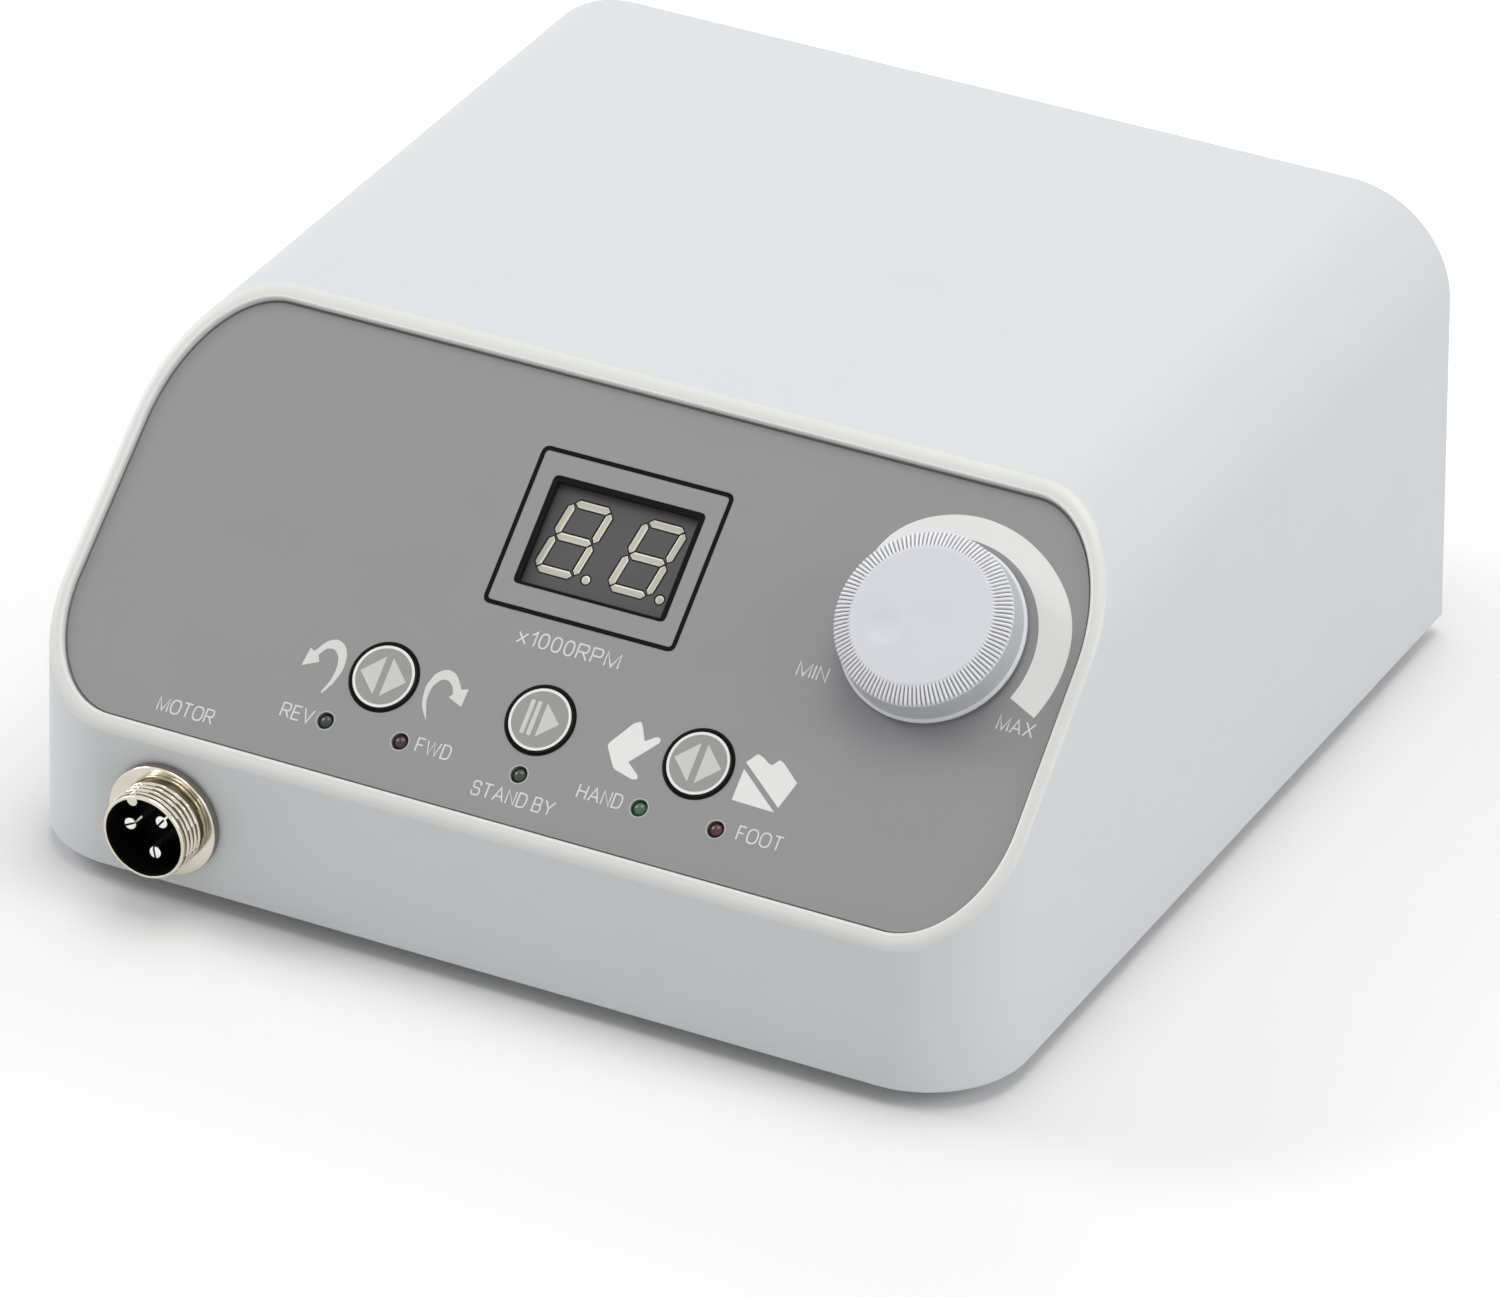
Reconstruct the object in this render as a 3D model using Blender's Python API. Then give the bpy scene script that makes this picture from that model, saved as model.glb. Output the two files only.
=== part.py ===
# Dental laboratory micromotor: the desktop control box, with its handpiece and pedal unplugged.
# Metres, +Z up. The front faces -Y and the rubber feet stand on Z = 0.
import math

import bmesh
import bpy
from mathutils import Matrix, Vector
from mathutils.geometry import interpolate_bezier, tessellate_polygon

# Clearances and cutter allowance
seat_gap = 0.0003
slide_gap = 0.00035
overrun = 0.003

# Moulded top cover
housing_width = 0.168
housing_depth = 0.170
housing_height = 0.075
front_height = 0.025
fascia_angle = math.radians(41)
side_draft = 0.024
corner_radius = 0.017
shoulder_radius = 0.018
wall = 0.0025
lip_width = 0.0022
lip_rise = 0.001
lip_round = 0.0012
corner_steps = 6
shoulder_steps = 6
lip_steps = 2

# Screw posts under the cover, and the stop that the rear panel seats against
post_radius = 0.0042
post_inset_x = 0.0125
post_inset_front = 0.019
post_inset_rear = 0.014
pilot_radius = 0.0013
pilot_depth = 0.012
stop_width = 0.002
stop_depth = 0.002

# Base plate, feet and case screws
base_thickness = 0.0025
vent_length = 0.028
vent_width = 0.0022
vent_pitch = 0.0065
vent_count = 7
foot_height = 0.003
foot_radius = 0.007
foot_stem_radius = 0.0022
foot_cap_radius = 0.0031
foot_chamfer = 0.001
foot_inset_x = 0.030
foot_inset_y = 0.022
screw_head_radius = 0.0028
screw_head_height = 0.0018
screw_shank_radius = 0.0015
screw_length = 0.012
screw_engagement_radius = 0.001
recess_depth = 0.001

# Grey overlay plate in the fascia's pocket
overlay_thickness = 0.001
pocket_floor = 0.0025
window_width = 0.0248
window_height = 0.0172
window_corner = 0.0006
panel_centre_x = 0.0015
display_y = 0.0486

# Two-digit display
display_width = 0.0252
display_height = 0.0176
display_depth = 0.008
display_recess = 0.0003
display_wall = 0.001
display_face = 0.0011
digit_height = 0.0127
digit_pitch = 0.0127
digit_slant = math.radians(10.5)
digit_width = 0.0076
digit_shift_x = 0.0003
digit_shift_y = 0.0004
segment_width = 0.0013
segment_mitre = 0.0002
segment_gap = 0.0001
point_radius = 0.00075
point_shift = 0.0044
diffuser_thickness = 0.0012

# Three round keys and their tact switches
key_pitch = 0.0271
key_row_y = 0.0197
key_hole_radius = 0.00565
key_rise = 0.0003
key_flange = 0.0008
key_flange_thickness = 0.0008
key_stem_radius = 0.0013
key_stem_reach = 0.0022
key_travel = 0.0004
key_edge_round = 0.0003
switch_size = 0.006
switch_height = 0.0035
switch_well_radius = 0.0017

# Five status lamps
lamp_row_y = 0.0106
lamp_hole_radius = 0.0016
lamp_radius = 0.0014
lamp_flange_radius = 0.0019
lamp_flange_thickness = 0.0008
lamp_rise = 0.0001
dome_rings = 2
lamp_inner_offset = 0.0206
lamp_outer_offset = 0.0336
lead_width = 0.0005
lead_spacing = 0.0025

# Speed knob on its potentiometer
knob_inset_x = 0.0271
knob_y = 0.0490
knob_radius = 0.015
knob_float = 0.0007
knob_flange = 0.0008
skirt_radius = 0.0147
rim_radius = 0.0142
face_radius = 0.0114
rim_height = 0.0067
face_height = 0.0077
rim_land = 0.0004
knob_wall = 0.0013
knob_hub_radius = 0.005
knob_hub_gap = 0.0005
groove_count = 120
skirt_thinning = 4
groove_depth = 0.00045
dimple_radius = 0.003
dimple_depth = 0.0005
dimple_offset = 0.0053
dimple_rings = 3
knob_rest_angle = math.radians(212.4)
shaft_radius = 0.003
shaft_fit = 0.0001
shaft_end_gap = 0.0004
pot_bush_radius = 0.0035
pot_bush_rise = 0.0012
pot_radius = 0.0083
pot_depth = 0.008
pot_shaft_entry = 0.002
pot_nut_flats = 0.010
pot_nut_height = 0.002
pot_nut_clearance = 0.0009

# Board behind the fascia
board_thickness = 0.0016
control_board_gap = 0.0031
control_board_height = 0.060
control_board_inset = 0.0035
board_post_radius = 0.0026
board_post_inset = 0.0042

# Three-pin motor socket on the front
motor_socket_inset_x = 0.0289
motor_socket_z = 0.0119
motor_socket_turn = math.radians(108)
motor_flange_radius = 0.0094
motor_flange_thickness = 0.0016
motor_thread_radius = 0.0074
motor_thread_length = 0.0055
motor_rear_radius = 0.0076
motor_rear_length = 0.010
motor_bore_radius = 0.00665
motor_cup_depth = 0.008
motor_pin_circle = 0.0033
motor_pin_radius = 0.0010
motor_pin_count = 3
motor_nut_flats = 0.0175
motor_nut_thickness = 0.0025

# Two-pin pedal socket on the rear
pedal_socket_inset_x = 0.032
pedal_socket_z = 0.020
pedal_socket_turn = math.radians(90)
pedal_flange_radius = 0.0075
pedal_flange_thickness = 0.0018
pedal_thread_radius = 0.0055
pedal_thread_length = 0.006
pedal_rear_radius = 0.0059
pedal_rear_length = 0.008
pedal_bore_radius = 0.0048
pedal_cup_depth = 0.0065
pedal_pin_circle = 0.0023
pedal_pin_radius = 0.0008
pedal_pin_count = 2
pedal_nut_flats = 0.015
pedal_nut_thickness = 0.002

# What both round sockets share
socket_chamfer = 0.0005
sleeve_wall = 0.0004
sleeve_setback = 0.0004
pin_setback = 0.0015
solder_tail = 0.004
polarising_radius = 0.0009
polarising_inset = 0.0003
pin_slot_width = 0.00035
pin_slot_depth = 0.0022

# Rear panel
panel_thickness = 0.002
panel_setback = 0.0015
rear_vent_count = 9
rear_vent_pitch = 0.005
rear_vent_width = 0.002
rear_vent_height = 0.016
rear_vent_z = 0.051
rear_vent_offset_x = 0.018

# Mains inlet
inlet_inset_x = 0.036
inlet_z = 0.020
inlet_flange_width = 0.031
inlet_flange_height = 0.0235
inlet_flange_thickness = 0.0018
inlet_body_width = 0.027
inlet_body_height = 0.0195
inlet_body_depth = 0.018
inlet_corner = 0.002
inlet_mouth_width = 0.0235
inlet_mouth_height = 0.0157
inlet_mouth_chamfer = 0.0045
inlet_mouth_depth = 0.016
blade_width = 0.002
blade_height = 0.004
blade_spacing = 0.014
blade_offset = 0.002
blade_setback = 0.005
blade_tail = 0.007

# Rocker power switch
rocker_spacing_x = 0.032
rocker_z = 0.022
rocker_frame_width = 0.015
rocker_frame_height = 0.021
rocker_frame_thickness = 0.0016
rocker_body_width = 0.013
rocker_body_height = 0.0192
rocker_body_depth = 0.014
rocker_mouth_width = 0.0105
rocker_mouth_height = 0.0174
rocker_well_depth = 0.0085
rocker_corner = 0.0012
rocker_length = 0.0158
rocker_pivot_depth = 0.001
rocker_centre_rise = 0.0016
rocker_end_rise = 0.0034
rocker_belly = 0.0055
belly_spread = math.radians(60)
belly_half_steps = 4
rocker_tilt = math.radians(10)
trunnion_radius = 0.001
trunnion_length = 0.0005

# Fuse holder
fuse_z = 0.048
fuse_flange_radius = 0.0085
fuse_flange_thickness = 0.0018
fuse_body_radius = 0.0063
fuse_body_length = 0.030
fuse_mouth_radius = 0.0056
fuse_mouth_depth = 0.006
fuse_bore_radius = 0.0036
fuse_bore_floor = 0.0025
fuse_cap_rise = 0.005
fuse_cap_slot_width = 0.0012
fuse_cap_slot_depth = 0.0012
fuse_radius = 0.0026
fuse_length = 0.020
fuse_end_length = 0.005
fuse_end_step = 0.0002

# Main board and what stands on it
main_board_width = 0.058
main_board_depth = 0.080
board_side_gap = 0.006
board_post_gap = 0.002
standoff_height = 0.006
standoff_radius = 0.003
standoff_inset = 0.006
capacitor_radius = 0.011
capacitor_height = 0.030
capacitor_offset_x = 0.0135
capacitor_inset_y = 0.020
capacitor_groove = 0.0006
rectifier_width = 0.019
rectifier_thickness = 0.0045
rectifier_height = 0.018
rectifier_offset_x = 0.0185
rectifier_inset_y = 0.040
rectifier_chamfer = 0.003
sink_width = 0.040
sink_depth = 0.016
sink_height = 0.028
sink_back = 0.004
sink_fin_count = 8
sink_fin_share = 0.42
sink_offset_x = -0.004
sink_inset_y = 0.003
transistor_width = 0.010
transistor_thickness = 0.0045
transistor_height = 0.016
transistor_lead_length = 0.006

# Mains transformer
core_width = 0.060
core_height = 0.050
core_stack = 0.030
core_limb = 0.010
core_side_gap = 0.006
core_fuse_gap = 0.012
coil_build = 0.009
coil_gap = 0.0005
transformer_pad_height = 0.002
transformer_pad_width = 0.008

# Leads inside the box
ribbon_width = 0.014
ribbon_thickness = 0.0009
ribbon_offset_x = 0.0125
ribbon_start_y = 0.045
ribbon_end_inset = 0.004
ribbon_bend = 0.014
lead_radius = 0.0018
lead_end_inset = 0.005
lead_bend = 0.020
lead_sides_resolution = 1
lead_points = 14

# Facets of round pieces
fine_steps = 32
round_steps = 24
key_steps = 20
hidden_steps = 16
small_steps = 12
tiny_steps = 8

# Places that follow from the sizes above
socket_reach = seat_gap + motor_flange_thickness + motor_thread_length
pedal_reach = seat_gap + pedal_flange_thickness + pedal_thread_length
fuse_reach = seat_gap + fuse_flange_thickness + fuse_cap_rise
rear_reach = max(pedal_reach, fuse_reach) - panel_setback
front_y = (socket_reach - housing_depth - rear_reach) / 2
overlay_drop = lip_rise + overlay_thickness + seat_gap
fascia_drop = overlay_drop + pocket_floor
floor_top = -overlay_thickness - seat_gap
floor_bottom = floor_top - pocket_floor
display_top = -overlay_thickness - display_recess
board_top = display_top - display_depth - seat_gap
rear_panel_y = housing_depth - panel_setback
panel_inner_y = rear_panel_y - panel_thickness
base_top = base_thickness
half_width = housing_width / 2
motor_wall = wall - seat_gap
shoulder_start = housing_height - shoulder_radius
knob_axis = Vector((0, -math.sin(fascia_angle), math.cos(fascia_angle)))
knob_x = half_width - knob_inset_x
control_board_width = 2 * (knob_x - pot_radius - control_board_gap - panel_centre_x)
motor_socket_x = motor_socket_inset_x - half_width
pedal_socket_x = pedal_socket_inset_x - half_width
rear_vent_x = pedal_socket_x + rear_vent_offset_x
inlet_x = half_width - inlet_inset_x
rocker_x = inlet_x - rocker_spacing_x
fuse_x = inlet_x
main_board_x = wall + board_side_gap + main_board_width / 2 - half_width
main_board_rear = panel_inner_y - post_inset_rear - post_radius - board_post_gap
main_board_front = main_board_rear - main_board_depth
main_board_y = (main_board_front + main_board_rear) / 2
capacitor_x = main_board_x + capacitor_offset_x
capacitor_y = main_board_front + capacitor_inset_y
rectifier_x = main_board_x + rectifier_offset_x
rectifier_y = main_board_front + rectifier_inset_y
sink_x = main_board_x + sink_offset_x
sink_y = main_board_rear - sink_inset_y - sink_depth
ribbon_x = main_board_x + ribbon_offset_x
core_x = half_width - wall - core_side_gap - core_width / 2
core_y = rear_panel_y - fuse_body_length - core_fuse_gap - core_stack / 2


# Scene and materials

def clear_scene():
    for item in list(bpy.data.objects):
        bpy.data.objects.remove(item, do_unlink=True)


def surface(name, colour, roughness, metallic=0.0):
    material = bpy.data.materials.new(name)
    material.use_nodes = True
    shader = material.node_tree.nodes["Principled BSDF"]
    shader.inputs["Base Color"].default_value = (*colour, 1.0)
    shader.inputs["Roughness"].default_value = roughness
    shader.inputs["Metallic"].default_value = metallic
    return material


def make_surfaces():
    return {
        "shell": surface("pale_abs", (0.72, 0.74, 0.76), 0.45),
        "overlay": surface("grey_polycarbonate", (0.29, 0.29, 0.30), 0.5),
        "dark": surface("dark_display_epoxy", (0.10, 0.10, 0.10), 0.55),
        "cream": surface("cream_diffuser", (0.60, 0.56, 0.46), 0.5),
        "key": surface("grey_key_plastic", (0.36, 0.36, 0.37), 0.45),
        "black": surface("black_nylon", (0.02, 0.02, 0.02), 0.5),
        "green_lens": surface("green_lamp_epoxy", (0.08, 0.18, 0.08), 0.25),
        "red_lens": surface("red_lamp_epoxy", (0.12, 0.03, 0.03), 0.25),
        "nickel": surface("nickel_plate", (0.72, 0.68, 0.60), 0.25, 1.0),
        "steel": surface("zinc_steel", (0.55, 0.56, 0.58), 0.35, 1.0),
        "aluminium": surface("anodised_aluminium", (0.60, 0.61, 0.62), 0.4, 1.0),
        "laminate": surface("green_laminate", (0.03, 0.17, 0.07), 0.5),
        "copper": surface("enamelled_copper", (0.60, 0.28, 0.12), 0.4, 0.6),
        "iron": surface("silicon_steel", (0.30, 0.30, 0.31), 0.5, 1.0),
        "rubber": surface("black_rubber", (0.03, 0.03, 0.03), 0.8),
        "sleeve": surface("blue_sleeve", (0.03, 0.06, 0.25), 0.4),
        "glass": surface("fuse_glass", (0.70, 0.72, 0.72), 0.1),
        "ribbon": surface("grey_ribbon", (0.40, 0.40, 0.42), 0.6),
    }


# Frames, objects and Booleans

def frame(name, parent, location, rotation=(0.0, 0.0, 0.0)):
    empty = bpy.data.objects.new(name, None)
    bpy.context.collection.objects.link(empty)
    empty.location = location
    empty.rotation_euler = rotation
    empty.parent = parent
    return empty


def place(name, bm, parent, location=(0.0, 0.0, 0.0), rotation=(0.0, 0.0, 0.0)):
    bmesh.ops.recalc_face_normals(bm, faces=bm.faces)
    mesh = bpy.data.meshes.new(name)
    bm.to_mesh(mesh)
    bm.free()
    mesh.shade_smooth()
    mesh.set_sharp_from_angle(angle=math.radians(30))
    item = bpy.data.objects.new(name, mesh)
    bpy.context.collection.objects.link(item)
    item.parent = parent
    item.location = location
    item.rotation_euler = rotation
    return item


def piece(name, bm, material, parent, location=(0.0, 0.0, 0.0), rotation=(0.0, 0.0, 0.0)):
    item = place(name, bm, parent, location, rotation)
    item.data.materials.append(material)
    return item


def tool(name, bm, parent, location=(0.0, 0.0, 0.0), rotation=(0.0, 0.0, 0.0)):
    item = place(name, bm, parent, location, rotation)
    item.hide_render = True
    item.display_type = "WIRE"
    return item


def combine(target, operation, *others):
    for other in others:
        modifier = target.modifiers.new(other.name, "BOOLEAN")
        modifier.operation = operation
        modifier.solver = "EXACT"
        modifier.object = other
    return target


def cut(target, *cutters):
    return combine(target, "DIFFERENCE", *cutters)


def unite(target, *others):
    return combine(target, "UNION", *others)


# Outlines in a plane

def arc(radius, start, end, steps, centre=(0.0, 0.0)):
    turns = [start + (end - start) * k / steps for k in range(steps + 1)]
    return [(centre[0] + radius * math.cos(t), centre[1] + radius * math.sin(t)) for t in turns]


def circle(radius, steps, centre=(0.0, 0.0)):
    return arc(radius, 0, 2 * math.pi, steps, centre)[:-1]


def rectangle(width, height, centre=(0.0, 0.0), radius=0.0, steps=4):
    if radius == 0:
        corners = [(-1, -1), (1, -1), (1, 1), (-1, 1)]
        return [(centre[0] + sx * width / 2, centre[1] + sy * height / 2) for sx, sy in corners]
    points = []
    quarter = math.pi / 2
    for turn, (sx, sy) in enumerate([(1, 1), (-1, 1), (-1, -1), (1, -1)]):
        middle = (centre[0] + sx * (width / 2 - radius), centre[1] + sy * (height / 2 - radius))
        points += arc(radius, turn * quarter, (turn + 1) * quarter, steps, middle)
    return points


def hexagon(flats):
    return circle(flats / math.sqrt(3), 6)


def inset_outline(points, distance):
    # Moves each side of a convex, anticlockwise outline inwards and meets them again
    result = []
    count = len(points)
    for k in range(count):
        before = Vector(points[k - 1])
        here = Vector(points[k])
        after = Vector(points[(k + 1) % count])
        first = (here - before).normalized()
        second = (after - here).normalized()
        first_normal = Vector((-first.y, first.x))
        second_normal = Vector((-second.y, second.x))
        bisector = (first_normal + second_normal).normalized()
        reach = distance / bisector.dot(first_normal)
        result.append(tuple(here + bisector * reach))
    return result


# Solids from outlines

def prism(loops, low, high):
    # The first loop is the outline and the rest are holes
    bm = bmesh.new()
    points = [point for loop in loops for point in loop]
    bottom = [bm.verts.new((x, y, low)) for x, y in points]
    top = [bm.verts.new((x, y, high)) for x, y in points]
    if len(loops) == 1:
        bm.faces.new(bottom)
        bm.faces.new(top)
    else:
        flat_loops = [[Vector((x, y, 0.0)) for x, y in loop] for loop in loops]
        for a, b, c in tessellate_polygon(flat_loops):
            bm.faces.new((bottom[a], bottom[b], bottom[c]))
            bm.faces.new((top[a], top[b], top[c]))
    start = 0
    for loop in loops:
        count = len(loop)
        for k in range(count):
            a = start + k
            b = start + (k + 1) % count
            bm.faces.new((bottom[a], bottom[b], top[b], top[a]))
        start += count
    return bm


def turned(profile, steps):
    # A closed (radius, height) outline spun about the local Z axis
    bm = bmesh.new()
    ring = [bm.verts.new((radius, 0.0, height)) for radius, height in profile]
    edges = [bm.edges.new((ring[k], ring[k + 1])) for k in range(len(ring) - 1)]
    if profile[0][0] > 0 or profile[-1][0] > 0:
        edges.append(bm.edges.new((ring[-1], ring[0])))
    bmesh.ops.spin(
        bm, geom=ring + edges, cent=(0, 0, 0), axis=(0, 0, 1), angle=2 * math.pi,
        steps=steps, use_merge=True, use_duplicate=False)
    tiny = seat_gap / 100
    bmesh.ops.remove_doubles(bm, verts=bm.verts, dist=tiny)
    # A flat end becomes one face in place of a fan
    flat = [vert for vert in bm.verts if math.hypot(vert.co.x, vert.co.y) < tiny
            and all(abs(edge.other_vert(vert).co.z - vert.co.z) < tiny for edge in vert.link_edges)]
    bmesh.ops.dissolve_verts(bm, verts=flat)
    return bm


def block(width, depth, low, high, centre=(0.0, 0.0)):
    return prism([rectangle(width, depth, centre)], low, high)


def merge(*parts):
    # Several separate solids in one mesh, for cutters that cut in many places
    bm = bmesh.new()
    for part in parts:
        mesh = bpy.data.meshes.new("scratch")
        part.to_mesh(mesh)
        part.free()
        bm.from_mesh(mesh)
        bpy.data.meshes.remove(mesh)
    return bm


def plate(name, outline, holes, low, high, material, parent):
    # A flat plate whose holes are drilled by one cutter
    item = piece(name, prism([outline], low, high), material, parent)
    drills = merge(*[prism([hole], low - overrun, high + overrun) for hole in holes])
    return cut(item, tool(name + "_drills", drills, parent))


# The wedge that the cover and its cavity share

def side_at(height, inset):
    return half_width - inset - side_draft * height


def section_outline(inset, low):
    radius = shoulder_radius - inset
    top = housing_height - inset
    start = top - radius
    middle_x = side_at(start, inset) - radius
    right = [(side_at(low, inset), low)]
    right += arc(radius, 0, math.pi / 2, shoulder_steps, (middle_x, start))
    left = [(-x, z) for x, z in reversed(right)]
    return right + left


def wedge(inset, drop, low, rear):
    bm = bmesh.new()
    section = section_outline(inset, low)
    radius = corner_radius - inset
    half = half_width - inset
    stations = []
    for k in range(corner_steps + 1):
        turn = math.pi / 2 * k / corner_steps
        shrink = (half - radius + radius * math.sin(turn)) / half
        stations.append((inset + radius - radius * math.cos(turn), shrink))
    stations.append((rear, 1.0))
    rings = [[bm.verts.new((x * shrink, y, z)) for x, z in section] for y, shrink in stations]
    for near, far in zip(rings, rings[1:]):
        for k in range(len(section)):
            j = (k + 1) % len(section)
            bm.faces.new((near[k], near[j], far[j], far[k]))
    bm.faces.new(rings[0])
    bm.faces.new(list(reversed(rings[-1])))
    bmesh.ops.recalc_face_normals(bm, faces=bm.faces)
    geometry = list(bm.verts) + list(bm.edges) + list(bm.faces)
    result = bmesh.ops.bisect_plane(
        bm, geom=geometry, dist=seat_gap / 100, plane_co=Vector((0, 0, front_height)) - drop * knob_axis,
        plane_no=knob_axis, clear_outer=True)
    rim = [item for item in result["geom_cut"] if isinstance(item, bmesh.types.BMEdge)]
    fascia = bmesh.ops.edgeloop_fill(bm, edges=rim)["faces"][0]
    return bm, fascia


def fascia_outline():
    # The slanted face's outline in fascia coordinates, anticlockwise from its lower right corner
    slope = math.tan(fascia_angle)
    lower = []
    for k in range(corner_steps + 1):
        turn = math.pi / 2 * k / corner_steps
        y = corner_radius - corner_radius * math.cos(turn)
        shrink = (half_width - corner_radius + corner_radius * math.sin(turn)) / half_width
        lower.append((side_at(front_height + y * slope, 0) * shrink, y / math.cos(fascia_angle)))
    upper = []
    middle_x = side_at(shoulder_start, 0) - shoulder_radius
    for x, z in arc(shoulder_radius, 0, math.pi / 2, shoulder_steps, (middle_x, shoulder_start)):
        upper.append((x, (z - front_height) / math.sin(fascia_angle)))
    right = lower + upper
    left = [(-x, y) for x, y in reversed(right)]
    return right + left


def plan_outline(inset, rear):
    radius = corner_radius - inset
    half = half_width - inset
    right = arc(radius, -math.pi / 2, 0, corner_steps, (half - radius, inset + radius))
    right.append((half, rear))
    left = [(-x, y) for x, y in reversed(right)]
    return right + left


def stop_outline():
    # An arch whose inner edge stands proud of the cover's wall all round the rear opening
    low = base_top + seat_gap
    inner = inset_outline(section_outline(wall, low - stop_width), stop_width)
    return [(-housing_width, low), *reversed(inner), (housing_width, low),
            (housing_width, 2 * housing_height), (-housing_width, 2 * housing_height)]


# Places on the fascia

def key_places():
    return [(panel_centre_x + k * key_pitch, key_row_y) for k in (-1, 0, 1)]


def lamp_places():
    offsets = (-lamp_outer_offset, -lamp_inner_offset, 0, lamp_inner_offset, lamp_outer_offset)
    return [(panel_centre_x + offset, lamp_row_y) for offset in offsets]


def board_post_places():
    middle_y = control_board_inset + control_board_height / 2
    reach_x = control_board_width / 2 - board_post_inset
    reach_y = control_board_height / 2 - board_post_inset
    return [(panel_centre_x + sx * reach_x, middle_y + sy * reach_y) for sx in (-1, 1) for sy in (-1, 1)]


def case_post_places():
    reach = half_width - post_inset_x
    rear = panel_inner_y - post_inset_rear
    return [(sx * reach, y) for y in (post_inset_front, rear) for sx in (-1, 1)]


def foot_places():
    reach = half_width - foot_inset_x
    return [(sx * reach, y) for y in (foot_inset_y, panel_inner_y - foot_inset_y) for sx in (-1, 1)]


# Housing pieces

def make_cover(materials, housing, fascia):
    outer, face = wedge(0, 0, 0, housing_depth)
    bmesh.ops.bevel(
        outer, geom=list(face.edges), offset=lip_round, offset_type="OFFSET",
        segments=lip_steps, profile=0.5, affect="EDGES")
    cover = piece("top_cover", outer, materials["shell"], housing)
    cavity_mesh, _ = wedge(wall, fascia_drop, -overrun, housing_depth + overrun)
    cavity = tool("cavity_cutter", cavity_mesh, housing)
    case_posts = merge(*[
        prism([circle(post_radius, tiny_steps, place_)], base_top + seat_gap, housing_height)
        for place_ in case_post_places()])
    board_posts = merge(*[
        prism([circle(board_post_radius, tiny_steps, place_)], board_top + seat_gap, 0)
        for place_ in board_post_places()])
    stop = prism([stop_outline()], 0, stop_depth)
    cut(cavity, tool("case_post_keeper", case_posts, housing),
        tool("board_post_keeper", board_posts, fascia),
        tool("panel_stop_keeper", stop, housing, (0, panel_inner_y - seat_gap, 0), (math.pi / 2, 0, 0)))
    pocket = prism([inset_outline(fascia_outline(), lip_width)], floor_top, lip_rise + overrun)
    holes = [prism([rectangle(display_width + 2 * seat_gap, display_height + 2 * seat_gap,
                              (panel_centre_x, display_y))], floor_bottom - overrun, overrun)]
    holes += [prism([circle(key_hole_radius, round_steps, p)], floor_bottom - overrun, overrun)
              for p in key_places()]
    holes += [prism([circle(lamp_radius + seat_gap, tiny_steps, p)], floor_bottom - overrun, overrun)
              for p in lamp_places()]
    holes.append(prism([circle(pot_bush_radius + seat_gap, round_steps, (knob_x, knob_y))],
                       floor_bottom - overrun, overrun))
    pilots = merge(*[
        prism([circle(pilot_radius, tiny_steps, p)], base_top - overrun, base_top + pilot_depth)
        for p in case_post_places()])
    socket = prism([circle(motor_rear_radius + seat_gap, fine_steps)], -wall - overrun, overrun)
    socket_place = (motor_socket_x, 0, motor_socket_z)
    # A hexagonal recess behind the front wall keeps the socket's nut from turning
    nut_recess = prism([hexagon(motor_nut_flats + 2 * seat_gap)],
                       -motor_wall - motor_nut_thickness - 2 * seat_gap, -motor_wall)
    outward = (math.pi / 2, 0, 0)
    cut(cover, cavity, tool("motor_nut_recess_cutter", nut_recess, housing, socket_place, outward),
        tool("pocket_cutter", pocket, fascia), tool("fascia_hole_cutter", merge(*holes), fascia),
        tool("pilot_cutter", pilots, housing),
        tool("motor_hole_cutter", socket, housing, socket_place, outward))
    return cover


def make_base(materials, housing):
    outline = plan_outline(wall + seat_gap, panel_inner_y - seat_gap)
    holes = [circle(foot_stem_radius + seat_gap, tiny_steps, p) for p in foot_places()]
    holes += [circle(screw_shank_radius + seat_gap, tiny_steps, p) for p in case_post_places()]
    for x, y in ((main_board_x, main_board_y), (core_x, core_y)):
        for k in range(vent_count):
            slot_y = y + (k - (vent_count - 1) / 2) * vent_pitch
            holes.append(rectangle(vent_length, vent_width, (x, slot_y)))
    base = plate("base_plate", outline, holes, 0, base_thickness, materials["shell"], housing)
    recesses = merge(*[
        prism([circle(screw_head_radius + seat_gap, small_steps, p)], -overrun, recess_depth)
        for p in case_post_places()])
    cut(base, tool("screw_recess_cutter", recesses, housing))
    return base


def make_rear_panel(materials, rear):
    section = inset_outline(section_outline(wall, 0), seat_gap)
    outline = [(-x, z) for x, z in reversed(section)]
    holes = [
        rectangle(inlet_body_width + 2 * seat_gap, inlet_body_height + 2 * seat_gap,
                  (-inlet_x, inlet_z)),
        rectangle(rocker_body_width + 2 * seat_gap, rocker_body_height + 2 * seat_gap,
                  (-rocker_x, rocker_z)),
        circle(fuse_body_radius + seat_gap, round_steps, (-fuse_x, fuse_z)),
        circle(pedal_rear_radius + seat_gap, round_steps, (-pedal_socket_x, pedal_socket_z)),
    ]
    for k in range(rear_vent_count):
        x = rear_vent_x + (k - (rear_vent_count - 1) / 2) * rear_vent_pitch
        holes.append(rectangle(rear_vent_width, rear_vent_height, (-x, rear_vent_z)))
    return plate("rear_panel", outline, holes, -panel_thickness, 0, materials["aluminium"], rear)


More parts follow.
